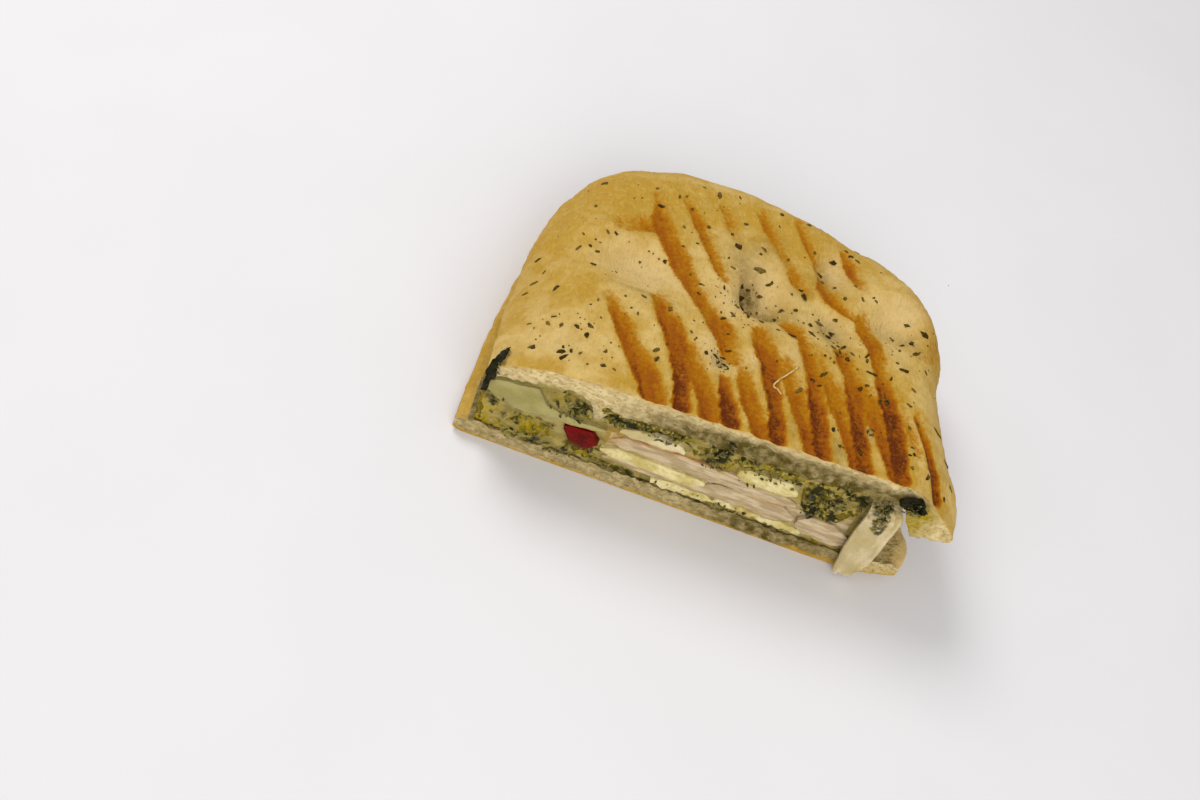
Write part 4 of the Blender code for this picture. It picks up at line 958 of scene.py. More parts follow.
def finish_piece(mesh, materials, nodes=(), sharp=60):
    """Shows a mesh as a piece that rides on the sandwich and stands for the given nodes."""
    for material in materials:
        mesh.materials.append(material)
    mesh.shade_smooth()
    mesh.set_sharp_from_angle(angle=math.radians(sharp))
    thing = bpy.data.objects.new(mesh.name, mesh)
    bpy.context.scene.collection.objects.link(thing)
    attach(thing, BODY)
    if nodes:
        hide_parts(*nodes)


def add(tree, kind, sockets, **settings):
    """Adds a node: its settings, then a value, an output or another node for each of its sockets."""
    node = tree.nodes.new("ShaderNode" + kind)
    for name, value in settings.items():
        setattr(node, name, value)
    for socket, value in sockets.items():
        if isinstance(value, bpy.types.ShaderNode):
            value = value.outputs[0]
        if isinstance(value, bpy.types.NodeSocket):
            tree.links.new(value, node.inputs[socket])
        else:
            node.inputs[socket].default_value = value
    return node


def new_material(name, *fields):
    """An empty material, its tree and shader, and the numbers that paint() kept under the given names."""
    material = bpy.data.materials.new(name)
    material.use_nodes = True
    tree = material.node_tree
    read = [add(tree, "Attribute", {}, attribute_name=field).outputs["Fac"] for field in fields]
    return material, tree, tree.nodes["Principled BSDF"], *read


def patches(tree, size, low=0.35, high=0.65, detail=2.0, stretch=(1, 1, 1)):
    """Uneven patches of a real size in millimetres, from 0 to 1; a stretch below 1 draws them out."""
    spot = add(tree, "TexCoord", {}).outputs["Object"]
    drawn = add(tree, "Mapping", {"Vector": spot, "Scale": stretch})
    cloud = add(tree, "TexNoise", {"Vector": drawn, "Scale": MM_PER_METRE / size, "Detail": detail})
    spread = {"Value": cloud, "From Min": low, "From Max": high}
    return add(tree, "MapRange", spread, interpolation_type="SMOOTHSTEP")


def glints(tree, pattern, top, where):
    """Only the strongest spots of a pattern, and only as far as the place has them."""
    spread = {"Value": pattern, "From Min": 0.8, "From Max": 1.0, "To Max": top}
    strong = add(tree, "MapRange", spread, interpolation_type="SMOOTHSTEP")
    return add(tree, "Math", {0: strong, 1: where}, operation="MULTIPLY")


def coloured(tree, shader, base, *coats):
    """Colours the shader with coats over a base.

    A coat has its share and its colour. Between them may stand where the share starts and where it is
    full, and how much of the colour shows then.
    """
    colour = colour_of(base)
    for share, *spread, name in coats:
        if spread:
            low, high, top = spread
            limits = {"Value": share, "From Min": low, "From Max": high, "To Max": top}
            share = add(tree, "MapRange", limits, interpolation_type="SMOOTHSTEP")
        sockets = {"Factor": share, 6: colour, 7: colour_of(name)}
        colour = add(tree, "Mix", sockets, data_type="RGBA").outputs[2]
    tree.links.new(colour, shader.inputs["Base Color"])


def bumpy(tree, shader, *reliefs):
    """Fine relief from patterns: each is a height from 0 to 1 and how many millimetres it stands."""
    sockets = {"Strength": 1.0}
    for height, tall in reliefs:
        sockets = {**sockets, "Height": height, "Distance": tall * METRES_PER_MM}
        sockets["Normal"] = add(tree, "Bump", sockets)
    tree.links.new(sockets["Normal"].outputs[0], shader.inputs["Normal"])


def soften(shader, roughness, depth=0.0, reach=1.0, spread=(1.0, 0.5, 0.25), gloss=0.5):
    """Constant finish of the shader: roughness, gloss, and how light travels under the surface."""
    shader.inputs["Roughness"].default_value = roughness
    shader.inputs["Specular IOR Level"].default_value = gloss
    shader.inputs["Subsurface Weight"].default_value = depth
    shader.inputs["Subsurface Radius"].default_value = spread
    shader.inputs["Subsurface Scale"].default_value = reach * METRES_PER_MM


def baked_crust():
    """Flatbread crust, pressed in a hot grill: dry and matt, pale in the hollows, brown in the marks."""
    material, tree, shader, sear, gold, hollow, shade = new_material(
        "flatbread_crust_grilled", "sear", "gold", "hollow", "shade"
    )
    fine, wrinkles = patches(tree, 0.45), patches(tree, 0.9, 0.3, 0.7, 3.0, (1.0, 0.45, 1.0))
    golden = add(tree, "Math", {0: patches(tree, 6.0), 1: 0.3, 2: gold}, operation="MULTIPLY_ADD")
    # Herb dust and painted shade deep in the hollows, broken up by a pattern
    dust_and_shade = add(tree, "Math", {0: shade, 1: patches(tree, 2.2, 0.1, 0.6)}, operation="MULTIPLY")
    uneven = add(tree, "Math", {0: patches(tree, 1.1), 1: 0.16, 2: -0.08}, operation="MULTIPLY_ADD")
    heat = add(tree, "Math", {0: sear, 1: uneven}, operation="ADD")
    coloured(
        tree, shader, "crust_pale",
        (golden, 0.0, 1.1, 1.0, "crust_gold"),
        (hollow, "crust_hollow"),
        (fine, 0.5, 1.0, 0.16, "crust_gold"),
        (patches(tree, 1.6, 0.4, 0.7, 3.0), 0.3, 1.0, 0.18, "crust_pale"),
        (wrinkles, 0.6, 1.0, 0.14, "crust_shade"),
        (dust_and_shade, "crust_shade"),
        (heat, 0.05, 0.44, 1.0, "mark_gold"),
        (heat, 0.36, 0.76, 1.0, "mark_rust"),
        (heat, 0.72, 1.04, 1.0, "mark_dark"),
        (glints(tree, patches(tree, 0.7), 0.2, sear), "mark_gold"),
        (glints(tree, patches(tree, 0.9, 0.5, 0.75), 0.25, sear), "crust_gold"),
    )
    soften(shader, 0.62, 0.1, 1.0, (1.0, 0.6, 0.2), 0.08)
    bumpy(tree, shader, (wrinkles, 0.12), (fine, 0.05))
    return material


def cut_crumb():
    """Flatbread crumb, cut with a knife: soft and matt, with streaks, pores and oil from the pesto."""
    material, tree, shader, soak, oil, leaf, rind = new_material(
        "flatbread_crumb_cut", "soak", "oil", "leaf", "rind"
    )
    streaks = patches(tree, 1.3, 0.3, 0.7, 3.0, (0.5, 1.0, 1.0))
    pores = patches(tree, 0.7, 0.5, 0.7, 3.0, (0.7, 1.0, 1.0))
    blotchy = {0: patches(tree, 2.4, 0.3, 0.66, 4.0), 1: 0.42, 2: 0.56}
    uneven = add(tree, "Math", blotchy, operation="MULTIPLY_ADD")
    leafy = add(tree, "Math", {0: leaf, 1: patches(tree, 1.5, 0.3, 0.6, 3.0)}, operation="MULTIPLY")
    coloured(
        tree, shader, "crumb",
        (streaks, 0.0, 1.0, 0.6, "crumb_shade"),
        (pores, 0.3, 1.0, 0.5, "crumb_shade"),
        (add(tree, "Math", {0: soak, 1: uneven}, operation="MULTIPLY"), "crumb_soaked"),
        (pores, 0.5, 1.0, 0.2, "pesto_green"),
        (add(tree, "Math", {0: oil, 1: uneven}, operation="MULTIPLY"), "pesto_oil"),
        (leafy, 0.2, 0.8, 0.9, "pesto_green"),
        (rind, "crust_gold"),
    )
    soften(shader, 0.82, 0.2, 1.4, (1.0, 0.7, 0.35), 0.1)
    bumpy(tree, shader, (streaks, 0.2), (pores, -0.2))
    return material


def oily_pesto(name, dark, middle, oil, cream, gloss):
    """Pesto, chopped basil in oil: wet and glossy, near-black leaf beside yellow-green oil."""
    material, tree, shader, leaf, oiled = new_material(name, "leaf", "oil")
    # Each pattern runs from a quarter below the painted share to over half above it
    chop = {0: patches(tree, 1.7, 0.32, 0.66, 3.0), 1: 0.8, 2: -0.25}
    spread = {0: patches(tree, 2.6), 1: 0.8, 2: -0.25}
    some_leaf, some_oil = (add(tree, "Math", parts, operation="MULTIPLY_ADD") for parts in (chop, spread))
    leafy = add(tree, "Math", {0: leaf, 1: some_leaf}, operation="ADD")
    oily = add(tree, "Math", {0: oiled, 1: some_oil}, operation="ADD")
    coloured(
        tree, shader, middle,
        (oily, 0.1, 0.9, 1.0, oil),
        (patches(tree, 1.3), 0.7, 1.0, cream, "cheese_shade"),
        (leafy, 0.3, 0.9, 1.0, dark),
    )
    soften(shader, 0.45, 0.1, 0.8, (0.8, 1.0, 0.2), gloss)
    bumpy(tree, shader, (patches(tree, 0.8), 0.2))
    return material


def soft_slice(name, light, shade, size, stretch, roughness, depth, relief, oil=0.0, gloss=0.22):
    """A soft moist slice, melted or cooked: light passes into it, and it shines a little where wet."""
    material, tree, shader, oiled, leaf, brown = new_material(name, "oil", "leaf", "brown")
    grain = patches(tree, size, 0.36, 0.66, 3.0, stretch)
    fine = patches(tree, 0.5, stretch=stretch)
    stain = add(tree, "Math", {0: oiled, 1: patches(tree, 2.0, 0.3, 0.6)}, operation="MULTIPLY")
    some_leaf = {0: patches(tree, 1.7, 0.32, 0.66), 1: 0.9, 2: 0.25}
    some_leaf = add(tree, "Math", some_leaf, operation="MULTIPLY_ADD")
    leafy = add(tree, "Math", {0: leaf, 1: some_leaf}, operation="MULTIPLY")
    coloured(
        tree, shader, light,
        (grain, 0.0, 1.0, 0.85, shade),
        (fine, 0.6, 1.0, 0.25, shade),
        (patches(tree, 1.2), 0.75, 1.0, oil, "pesto_oil"),
        (stain, "pesto_oil"),
        (brown, "mark_gold"),
        (leafy, 0.15, 0.7, 0.85, "pesto_green"),
        (leafy, 0.65, 1.1, 1.0, "pesto_dark"),
    )
    soften(shader, roughness, depth, 1.6, (1.0, 0.75, 0.4), gloss)
    bumpy(tree, shader, (grain, relief), (fine, 0.06))
    return material


def dry_leaf(name, dark, light, *finish):
    """Basil or other herbs, chopped or crumbled: dark bits, each with its own shade."""
    material, tree, shader, tone = new_material(name, "tone")
    uneven = add(tree, "Math", {0: patches(tree, 0.6), 1: -0.35, 2: tone}, operation="MULTIPLY_ADD")
    coloured(tree, shader, light, (uneven, 0.1, 0.75, 1.0, dark))
    soften(shader, *finish)
    bumpy(tree, shader, (patches(tree, 0.4), 0.05))
    return material


def nearest_on(stroke, points):
    """Distance to a stroke, on which side of it, and its width and strength at the nearest place."""
    best = np.full(len(points), np.inf)
    side, width, strength = np.zeros(len(points)), np.ones(len(points)), np.zeros(len(points))
    for start, end in zip(stroke, stroke[1:]):
        a, b = np.array(start[:2], float), np.array(end[:2], float)
        step = b - a
        rel = points - a
        share = np.clip((rel @ step) / (step @ step), 0, 1)
        off = rel - share[:, None] * step
        away = np.linalg.norm(off, axis=1)
        left = np.array([step[1], -step[0]]) / np.linalg.norm(step)
        near = away < best
        best = np.where(near, away, best)
        side = np.where(near, np.sign(off @ left), side)
        width = np.where(near, blend(start[2], end[2], share), width)
        strength = np.where(near, blend(start[3], end[3], share), strength)
    return best, side, width, strength


def grill_fields(x, y):
    """How brown and how golden the crust is, and how deep the grill's bars pressed, from 0 to 1."""
    brown, halo, press = np.zeros(len(x)), np.zeros(len(x)), np.zeros(len(x))
    flat = np.column_stack((x, y, np.zeros(len(x))))
    turned = np.column_stack((x + BAR_SLOPE * y, STREAK_DRAWN * (y - BAR_SLOPE * x), np.zeros(len(x))))
    wobble = heaped(flat, MARK_WOBBLE)
    smear = heaped(flat, MARK_SMEAR) + heaped(turned, MARK_STREAKS)
    for stroke in GRILL_MARKS:
        away, side, width, strength = nearest_on(stroke, flat[:, :2])
        half = 0.5 * width * blend(FAINT_WIDTH, 1.0, smoothstep(*FAINT_TO_CLEAR, strength)) + wobble
        soft = np.where(side > 0, MARK_LEFT_SOFTNESS, MARK_RIGHT_SOFTNESS)
        soft = soft * np.clip(2.2 - 2 * strength, *MARK_SOFTNESS_RANGE)
        inside = 1 - smoothstep(-0.5, 1.0, (away - half) / (soft + 0.25))
        slant = LEFT_DARKER * side * np.clip(away / np.maximum(half, 0.5), 0, 1)
        slant = slant * smoothstep(0.3, 0.6, strength)
        brown = np.maximum(brown, inside * np.clip(strength + smear + slant, 0, MARK_DARKEST))
        reach = MARK_HALO * np.where(side > 0, 0.5, 1.0)
        halo = np.maximum(halo, strength * np.exp(-((np.clip(away - half, 0, None) / reach) ** 2)))
        pressed = 1 - smoothstep(0.3, 1.15, away / np.maximum(half + 0.4, 0.6))
        ridge = RIDGE_HEIGHT * np.exp(-(((away - half - RIDGE_AWAY) / RIDGE_WIDTH) ** 2)) * (side > 0)
        press = np.where(pressed > np.abs(press), pressed * np.clip(0.35 + strength, 0, 1), press)
        press = np.where(inside < 0.2, press - ridge * strength, press)
    return brown, halo, press


def spread_sum(spots, x, y):
    """Adds up soft round spots."""
    total = np.zeros(len(x))
    for centre_x, centre_y, across, deep, amount in spots:
        total += amount * np.exp(-(((x - centre_x) / across) ** 2) - ((y - centre_y) / deep) ** 2)
    return np.clip(total, 0, 1)


def dimples(x, y):
    """How much lower the crust lies for its smaller hollows, in millimetres."""
    lower = np.zeros(len(x))
    for centre_x, centre_y, half_x, half_y, depth, angle in DIMPLES:
        turn = math.radians(angle)
        across = ((x - centre_x) * math.cos(turn) + (y - centre_y) * math.sin(turn)) / half_x
        deep = ((y - centre_y) * math.cos(turn) - (x - centre_x) * math.sin(turn)) / half_y
        lower += depth * np.exp(-(across**2) - deep**2)
    return lower


def crust_relief(x, y, z):
    """Soft unevenness of a baked crust, with fine wrinkles, in millimetres."""
    spot = np.column_stack((x, y, z))
    wrinkles = -np.abs(lumps(spot * (WRINKLE_DRAWN, 1.0, 1.0), *CRUST_WRINKLES))
    return millimetres_of("crust_relief") * (heaped(spot, CRUST_WAVES) + WRINKLE_SHARE * wrinkles)


def crumb_depth(x, y, z):
    """How far the crumb stands in or out of the cut, in millimetres."""
    spot = np.column_stack((x * CRUMB_DRAWN, y, z))
    pores = sum(
        depth * smoothstep(low, 0.7, lumps(spot, size, seed)) for size, depth, low, seed in CRUMB_PORES
    )
    return millimetres_of("crumb_relief") * (heaped(spot, CRUMB_LUMPS) - pores)


def pressed_crust(x, y, away):
    """Grill marks and dimples of the upper crust, which fade towards its rim but not at the cut."""
    inward = away + LOAF_DEPTH * (y < CUT_STRIP)
    brown, halo, press = grill_fields(x, y)
    fade = smoothstep(*MARKS_FADE, inward)
    return brown * fade, halo, press * fade, dimples(x, y) * smoothstep(*DIMPLES_FADE, inward)


def make_bread(name, rim, surfaces, cells, upper, looks):
    """One bread with its relief: crust outside, crumb on the cut and inside."""
    mesh, (u, v, w) = block(name, *cells)
    steps = blend(v, np.sin(0.5 * math.pi * v), CROWD_BACK)
    x, y = plan(rim, blend(u, 0.5 - 0.5 * np.cos(math.pi * u), CROWD_ACROSS), steps)
    low, high = surfaces(x, y)
    z = blend(low, high, w)
    move_corners(mesh, place(x, y, z))
    on_cut, on_top = v < ON_CUT, w > 1 - ON_CUT
    on_inside = w < ON_CUT if upper else on_top
    away, _ = rim_distance(rim, x, y)
    marks = np.zeros((4, len(x)))
    if upper:
        shown = on_top | on_cut
        marks[:, shown] = pressed_crust(x[shown], y[shown], away[shown])
    brown, halo, press, lower = marks
    lift = crust_relief(x, y, z) - press * millimetres_of("mark_depth") - lower
    # The breads are moved out by their crust's relief, and the cut by its crumb's
    whole = np.column_stack((x, y, z))
    outer = np.where(on_cut | on_inside, 0.0, lift) * (1.0 if upper else BOTTOM_RELIEF)
    inner = np.where(on_inside & ~on_cut, heaped(whole, INSIDE_LUMPS), 0.0)
    moved = whole + read_corners(mesh.vertex_normals, "vector") * (outer + inner)[:, None]
    near_crust, near_filling = (w**3, (1 - w) ** 3) if upper else ((1 - w) ** 3, w**3)
    torn = heaped(np.column_stack((x, 0 * x, w)), TORN_EDGE)
    if upper:
        torn = torn - TONGUE_LENGTH * np.exp(-(((x - TONGUE_X) / TONGUE_HALF_WIDTH) ** 2))
    else:
        torn = BOTTOM_TORN * torn + BOTTOM_RAISED
    between = np.minimum(w, 1 - w).clip(0, CRUMB_FROM_EDGE) / CRUMB_FROM_EDGE
    cut_y = y - crumb_depth(x, y, z) * between
    moved[on_cut] = np.column_stack((x, cut_y, z + lift * near_crust + torn * near_filling))[on_cut]
    moved[:, 2] = np.maximum(moved[:, 2], 0.0)
    move_corners(mesh, place(*moved.T))
    crumbly = face_share(mesh, on_cut) | face_share(mesh, on_inside & (away > CRUST_TURNS_IN[upper]))
    mesh.polygons.foreach_set("material_index", crumbly.astype(np.int32))
    rind = (1 - smoothstep(*RIND, (high - z) if upper else (z - low))) * on_cut
    if upper:
        rim_gold = RIM_GOLD * (1 - smoothstep(*RIM_GOLD_FADES, away)) * (y > CUT_STRIP)
        golden = GOLDEN_BASE + spread_sum(GOLDEN, x, y) * (0.5 + 0.5 * on_top) + 0.5 * halo + rim_gold
        # shade holds herb dust and oil with painted shade in the deep hollows
        hollow, shade = (spread_sum(spots, x, y) * on_top for spots in (PALE, SHADED))
        dried = np.exp(-(((high - z) / DRY_CRUMB) ** 2))
        soak = SOAKED * (1 - dried) * smoothstep(*SOAKED_FROM, x) * (1 - smoothstep(*SOAKED_TO, x))
        soak = soak + PESTO_STAIN * (1 - smoothstep(0, PESTO_STAIN_HEIGHT, z - low))
        soak = soak + FLAP_SOAKED * smoothstep(*FLAP_FROM, x) * (1 - smoothstep(*FLAP_TO, x))
        soak, rind = on_cut * np.clip(soak, 0, 1), TOP_RIND * rind
        oil = on_cut * spread_sum(OIL_SPOTS, x, z)
    else:
        corner = smoothstep(*CORNER_ACROSS, x) * (1 - smoothstep(*CORNER_BACK, y))
        brown = BASE_SEAR * (w < ON_CUT) * (1 - corner)
        golden = BOTTOM_GOLD + BASE_GOLD * (1 - smoothstep(0, BASE_GOLD_HEIGHT, z)) - 0.5 * corner
        hollow, shade = CORNER_PALE * corner, np.zeros(len(x))
        soaked = smoothstep(*BOTTOM_SOAKED_FROM, x) * (1 - smoothstep(*BOTTOM_SOAKED_TO, x))
        drier = CORNER_DRIER * smoothstep(*CORNER_DRIES, x)
        soak = np.where(on_cut, CUT_SOAKED + CUT_SOAKED_MORE * soaked - drier, UNDER_PESTO * (1 - corner))
        soak = soak * (1 - smoothstep(*SOAK_ENDS, y))
        scorched = smoothstep(*SCORCHED_FROM, x) * (1 - smoothstep(*SCORCHED_TO, x))
        scorched = SCORCHED * scorched * (1 - smoothstep(*SCORCHED_HEIGHT, z))
        rind = np.maximum(rind, scorched * on_cut)
        oil = np.where(on_cut, spread_sum(OIL_SPOTS, x, z), CORNER_OIL * corner)
    leaf = on_cut * spread_sum(LEAF_CLUMPS, x, z)
    paint(mesh, sear=brown, gold=golden, hollow=hollow, shade=shade)
    paint(mesh, soak=soak, rind=rind, oil=oil, leaf=leaf)
    finish_piece(mesh, looks, [name])


def at_depth(x, y, height_at_cut):
    """Carries a height at the cut back into the loaf, at its share of the space between the breads."""
    front = np.zeros_like(y)
    low, high = floor(x, front) + FLOOR_GAP, roof(x, front) - ROOF_GAP
    share = (height_at_cut - low) / (high - low)
    wave = WAVE_HEIGHT * np.sin(math.tau * y / WAVE_LENGTH + WAVE_TURN * x) * smoothstep(*WAVE_STARTS, y)
    open_share = np.clip(share * (1 - share) * 4, 0, 1)
    return blend(floor(x, y) + FLOOR_GAP, roof(x, y) - ROOF_GAP, share) + wave * open_share


def paint_stains(mesh, x, z, share):
    """Keeps how leafy, oily and browned the food is at each place of the cut."""
    spots = {"leaf": LEAF_CLUMPS, "oil": OIL_SPOTS, "brown": BROWN_LINES}
    paint(mesh, **{name: spread_sum(places, x, z) * share for name, places in spots.items()})


def make_layer(name, material):
    """One filling with a ragged, rounded edge at the cut."""
    low, high, front, reach = FILLINGS[name]
    swell, reliefs, stretch, ragged = SURFACES[name]
    start, end = low[0][0], low[-1][0]
    columns = max(8, round((end - start) / LAYER_COLUMN))
    tallest = max(z for _, z in high) - min(z for _, z in low)
    mesh, (u, v, w) = block(name, columns, LAYER_ROWS, max(4, round(tallest / LAYER_COLUMN)))
    x = blend(start, end, u)
    y = front + v**LAYER_ROW_CROWD * (along(BACK_LIMIT, x) * reach - front)
    seed = sum(map(ord, name)) % 97
    flat = np.column_stack((x, 0.3 * y, np.zeros(len(x))))
    edges = [ragged * sum(lumps(flat, size, seed + k) for size, k in sizes) for sizes in RAGGED_EDGES]
    low_z, high_z = along(low, x) - swell + edges[0], along(high, x) + swell + edges[1]
    thinner = 0.5 * (1 - np.sqrt(np.clip(np.minimum(x - start, end - x) / END_TAPER, 0.02, 1)))
    share = blend(w, 0.5, thinner)
    z = at_depth(x, y, blend(low_z, np.maximum(high_z, low_z + LAYER_THINNEST), share))
    spot = np.column_stack((x / stretch, y, z))
    relief = sum(tall * lumps(spot, size, seed + 5 + k) for k, (size, tall) in enumerate(reliefs))
    at_front = np.exp(-v * LAYER_ROWS)
    # The lip rounds over at its upper and lower edge
    round_over = LIP_BULGE * (2 * w - 1) ** 2
    y = y - at_front * (relief + LIP_WAVE * lumps(flat, 9.0, seed + 4)) + at_front * round_over
    z = z + (1 - at_front) * 0.35 * relief * np.where(w > 0.5, 1, -1)
    x = x + np.where((u < ON_CUT) | (u > 1 - ON_CUT), 0.8 * relief, 0)
    move_corners(mesh, place(x, y, z))
    paint_stains(mesh, x, z, np.clip(1.2 - v * 4, 0, 1))
    finish_piece(mesh, [material], [name])


def make_sauce(material, meat):
    """Melted cheese and pesto pressed between the layers: a lumpy mass just behind their edges."""
    mesh, (u, v, w) = block("sauce_between_layers", *SAUCE_CELLS)
    x = blend(*SAUCE_ENDS, u)
    low, high = floor(x, 0 * x) + SAUCE_GAP, roof(x, 0 * x) - SAUCE_GAP
    z = blend(low, high, w)
    spot = np.column_stack((0.7 * x, 0 * x, z))
    y = blend(SAUCE_FRONT - heaped(spot, SAUCE_LUMPS), SAUCE_BACK, v)
    bulge = np.sin(math.pi * np.clip(w, 0, 1)) - 1 + heaped(np.column_stack((y, y, z)), SAUCE_END_LUMPS)
    ends = np.sign(u - 0.5) * smoothstep(*SAUCE_END_STARTS, np.abs(2 * u - 1))
    x = x + (SAUCE_BULGE * bulge - SAUCE_SLOPE * v) * ends
    move_corners(mesh, place(x, y, z))
    paint_stains(mesh, x, z, np.ones(len(x)))
    # Shreds of chicken lie between the slices of it
    left, right, below, above = SHREDS
    shreds = (x > left) & (x < right)
    shreds = shreds & (z > below + lumps(spot, 2.0, 64)) & (z < above + lumps(spot, 2.0, 65))
    mesh.polygons.foreach_set("material_index", face_share(mesh, shreds).astype(np.int32))
    finish_piece(mesh, [material, meat])


def make_melt(material):
    """The cheese that hangs out of the cut and down over the bottom bread."""
    mesh, (u, v, w) = block("cheese_melt", *MELT_CELLS)
    middle = curve_through(MELT_LINE, v)
    step = 1 / MELT_CELLS[1]
    ahead = curve_through(MELT_LINE, v + step) - curve_through(MELT_LINE, v - step)
    out = np.column_stack((np.zeros_like(v), ahead[:, 2], -ahead[:, 1]))
    out = out / np.linalg.norm(out, axis=1)[:, None]
    across, down = u * MELT_BREADTH, v * MELT_LENGTH
    width = np.interp(v, np.linspace(0, 1, len(MELT_WIDTHS)), MELT_WIDTHS)
    width = width + heaped(np.column_stack((down, np.sign(u - 0.5), v)), MELT_SIDES)
    fold = MELT_FOLD * np.cos(math.pi * (u - 0.3)) ** 2 * smoothstep(0.3, 0.6, v)
    thin = 1 - 0.45 * (2 * u - 1) ** 4
    relief = heaped(np.column_stack((across, down, w)), MELT_LUMPS)
    offset = (w - 0.5) * MELT_THICKNESS * thin - fold + np.where(w > 0.5, 0, -relief)
    rolled = np.exp(-(((u - 0.9) / 0.09) ** 2)) * smoothstep(0.25, 0.4, v) * (1 - smoothstep(0.7, 0.9, v))
    offset = offset - MELT_ROLL * rolled * (w < 0.5)
    lip = heaped(np.column_stack((across, 0 * u, 0 * u)), MELT_FRINGE) * smoothstep(0.9, 1.0, v)
    x = middle[:, 0] - MELT_SHIFT * smoothstep(0.3, 0.6, v) + (u - 0.5) * width
    y = middle[:, 1] - out[:, 1] * offset
    z = middle[:, 2] - out[:, 2] * offset + lip
    move_corners(mesh, place(x, y, z))
    paint_stains(mesh, x, z, 1 - 0.9 * smoothstep(*MELT_CLEAN_FROM, x))
    finish_piece(mesh, [material], ["cheese_melt"])


def left_leaf(u, v):
    """Sticks out at the left end of the cut and folds back over the crust's edge."""
    x, y, z = curve_through(LEFT_LEAF_LINE, u).T
    across = (0.5 - v) * LEFT_LEAF_WIDTH * np.sqrt(np.clip(1 - 0.8 * (2 * u - 1) ** 2, 0, 1))
    over = smoothstep(0.3, 0.6, u)
    x = x + across * (1 - 0.2 * over)
    y = y - LEAF_WAVE * (1 + np.sin(11 * u + 2 * v)) * (1 - over)
    z = z + (0.6 * across + LEAF_WAVE * (1 + np.sin(9 * u + 2 * v))) * over
    thick_way = blend(np.array((0, -1, 0)), np.array((-0.5, -0.2, 0.8)), over[:, None])
    return np.column_stack((x, y, z)), thick_way


def right_leaf(u, v):
    """Lies over the cut edge of the top bread, where the knife dragged it."""
    x = RIGHT_LEAF_START + RIGHT_LEAF_LENGTH * u
    reach = RIGHT_LEAF_WIDTH * np.sqrt(np.clip(1 - (2 * u - 1) ** 2 * 0.8, 0, 1))
    z = RIGHT_LEAF_HEIGHT + (v - 0.5) * reach - RIGHT_LEAF_DROP * u
    y = RIGHT_LEAF_FRONT - RIGHT_LEAF_WAVE * np.sin(5 * u + 3 * v)
    return np.column_stack((x, y, z)), (0, -1, 0)


def make_leaf(name, shape, material):
    """A thin leaf, crumpled and torn, its faces split into triangles."""
    mesh, (u, v, w) = block(name, *LEAF_CELLS, 1, triangles=True)
    points, thick_way = shape(u, v)
    half = (w - 0.5) * LEAF_THICKNESS + heaped(points, LEAF_CRUMPLE)
    torn = np.column_stack([heaped(points, layers) for layers in LEAF_TORN])
    points = points + half[:, None] * np.array(thick_way) + torn
    move_corners(mesh, place(*points.T))
    paint_stains(mesh, points[:, 0], points[:, 2], np.zeros(len(u)))
    finish_piece(mesh, [material], [name])


def crust_heights(x, y):
    """Height and slope of the finished upper crust."""
    xs = np.concatenate((x, x + SLOPE_STEP, x))
    ys = np.concatenate((y, y, y + SLOPE_STEP))
    _, z = top_surfaces(xs, ys)
    _, _, press = grill_fields(xs, ys)
    z = z + crust_relief(xs, ys, z) - press * millimetres_of("mark_depth") - dimples(xs, ys)
    here, right, back = np.split(z, 3)
    normals = np.column_stack((here - right, here - back, np.full(len(x), SLOPE_STEP)))
    return here, normals / np.linalg.norm(normals, axis=1)[:, None]


def speck_places(draw):
    """Tiny specks of herb: some crowd where the larger flakes do."""
    places = []
    while len(places) < SPECKS:
        pick = draw.random()
        x, y = draw.uniform(*SPECK_FIELD[0]), draw.uniform(*SPECK_FIELD[1])
        for crowd_x, crowd_y, spread, share in SPECK_CROWDS:
            if 0 <= pick < share:
                x, y = draw.gauss(crowd_x, spread), draw.gauss(crowd_y, spread)
            pick -= share
        away, _ = rim_distance(TOP_RIM, np.array([x]), np.array([y]))
        if away[0] > SPECK_FROM_RIM and 2 < y < 100 and abs(x) < 60:
            size = draw.uniform(*SPECK_SIZE)
            width, angle = size * draw.uniform(0.5, 0.9), draw.uniform(0, 180)
            places.append((x, y, size, width, angle, draw.uniform(0.3, 0.9)))
    return places


def crumbled(name, material, sharp, make):
    """A piece of many small bits: make() adds them to its mesh, in millimetres from the cut's middle."""
    bm = bmesh.new()
    make(bm, bm.verts.layers.float.new("tone"))
    bmesh.ops.translate(bm, vec=(-CENTRE_X, -CENTRE_Y, 0), verts=bm.verts)
    bmesh.ops.scale(bm, vec=(METRES_PER_MM,) * 3, verts=bm.verts)
    mesh = bpy.data.meshes.new(name)
    bm.to_mesh(mesh)
    bm.free()
    finish_piece(mesh, [material], sharp=sharp)


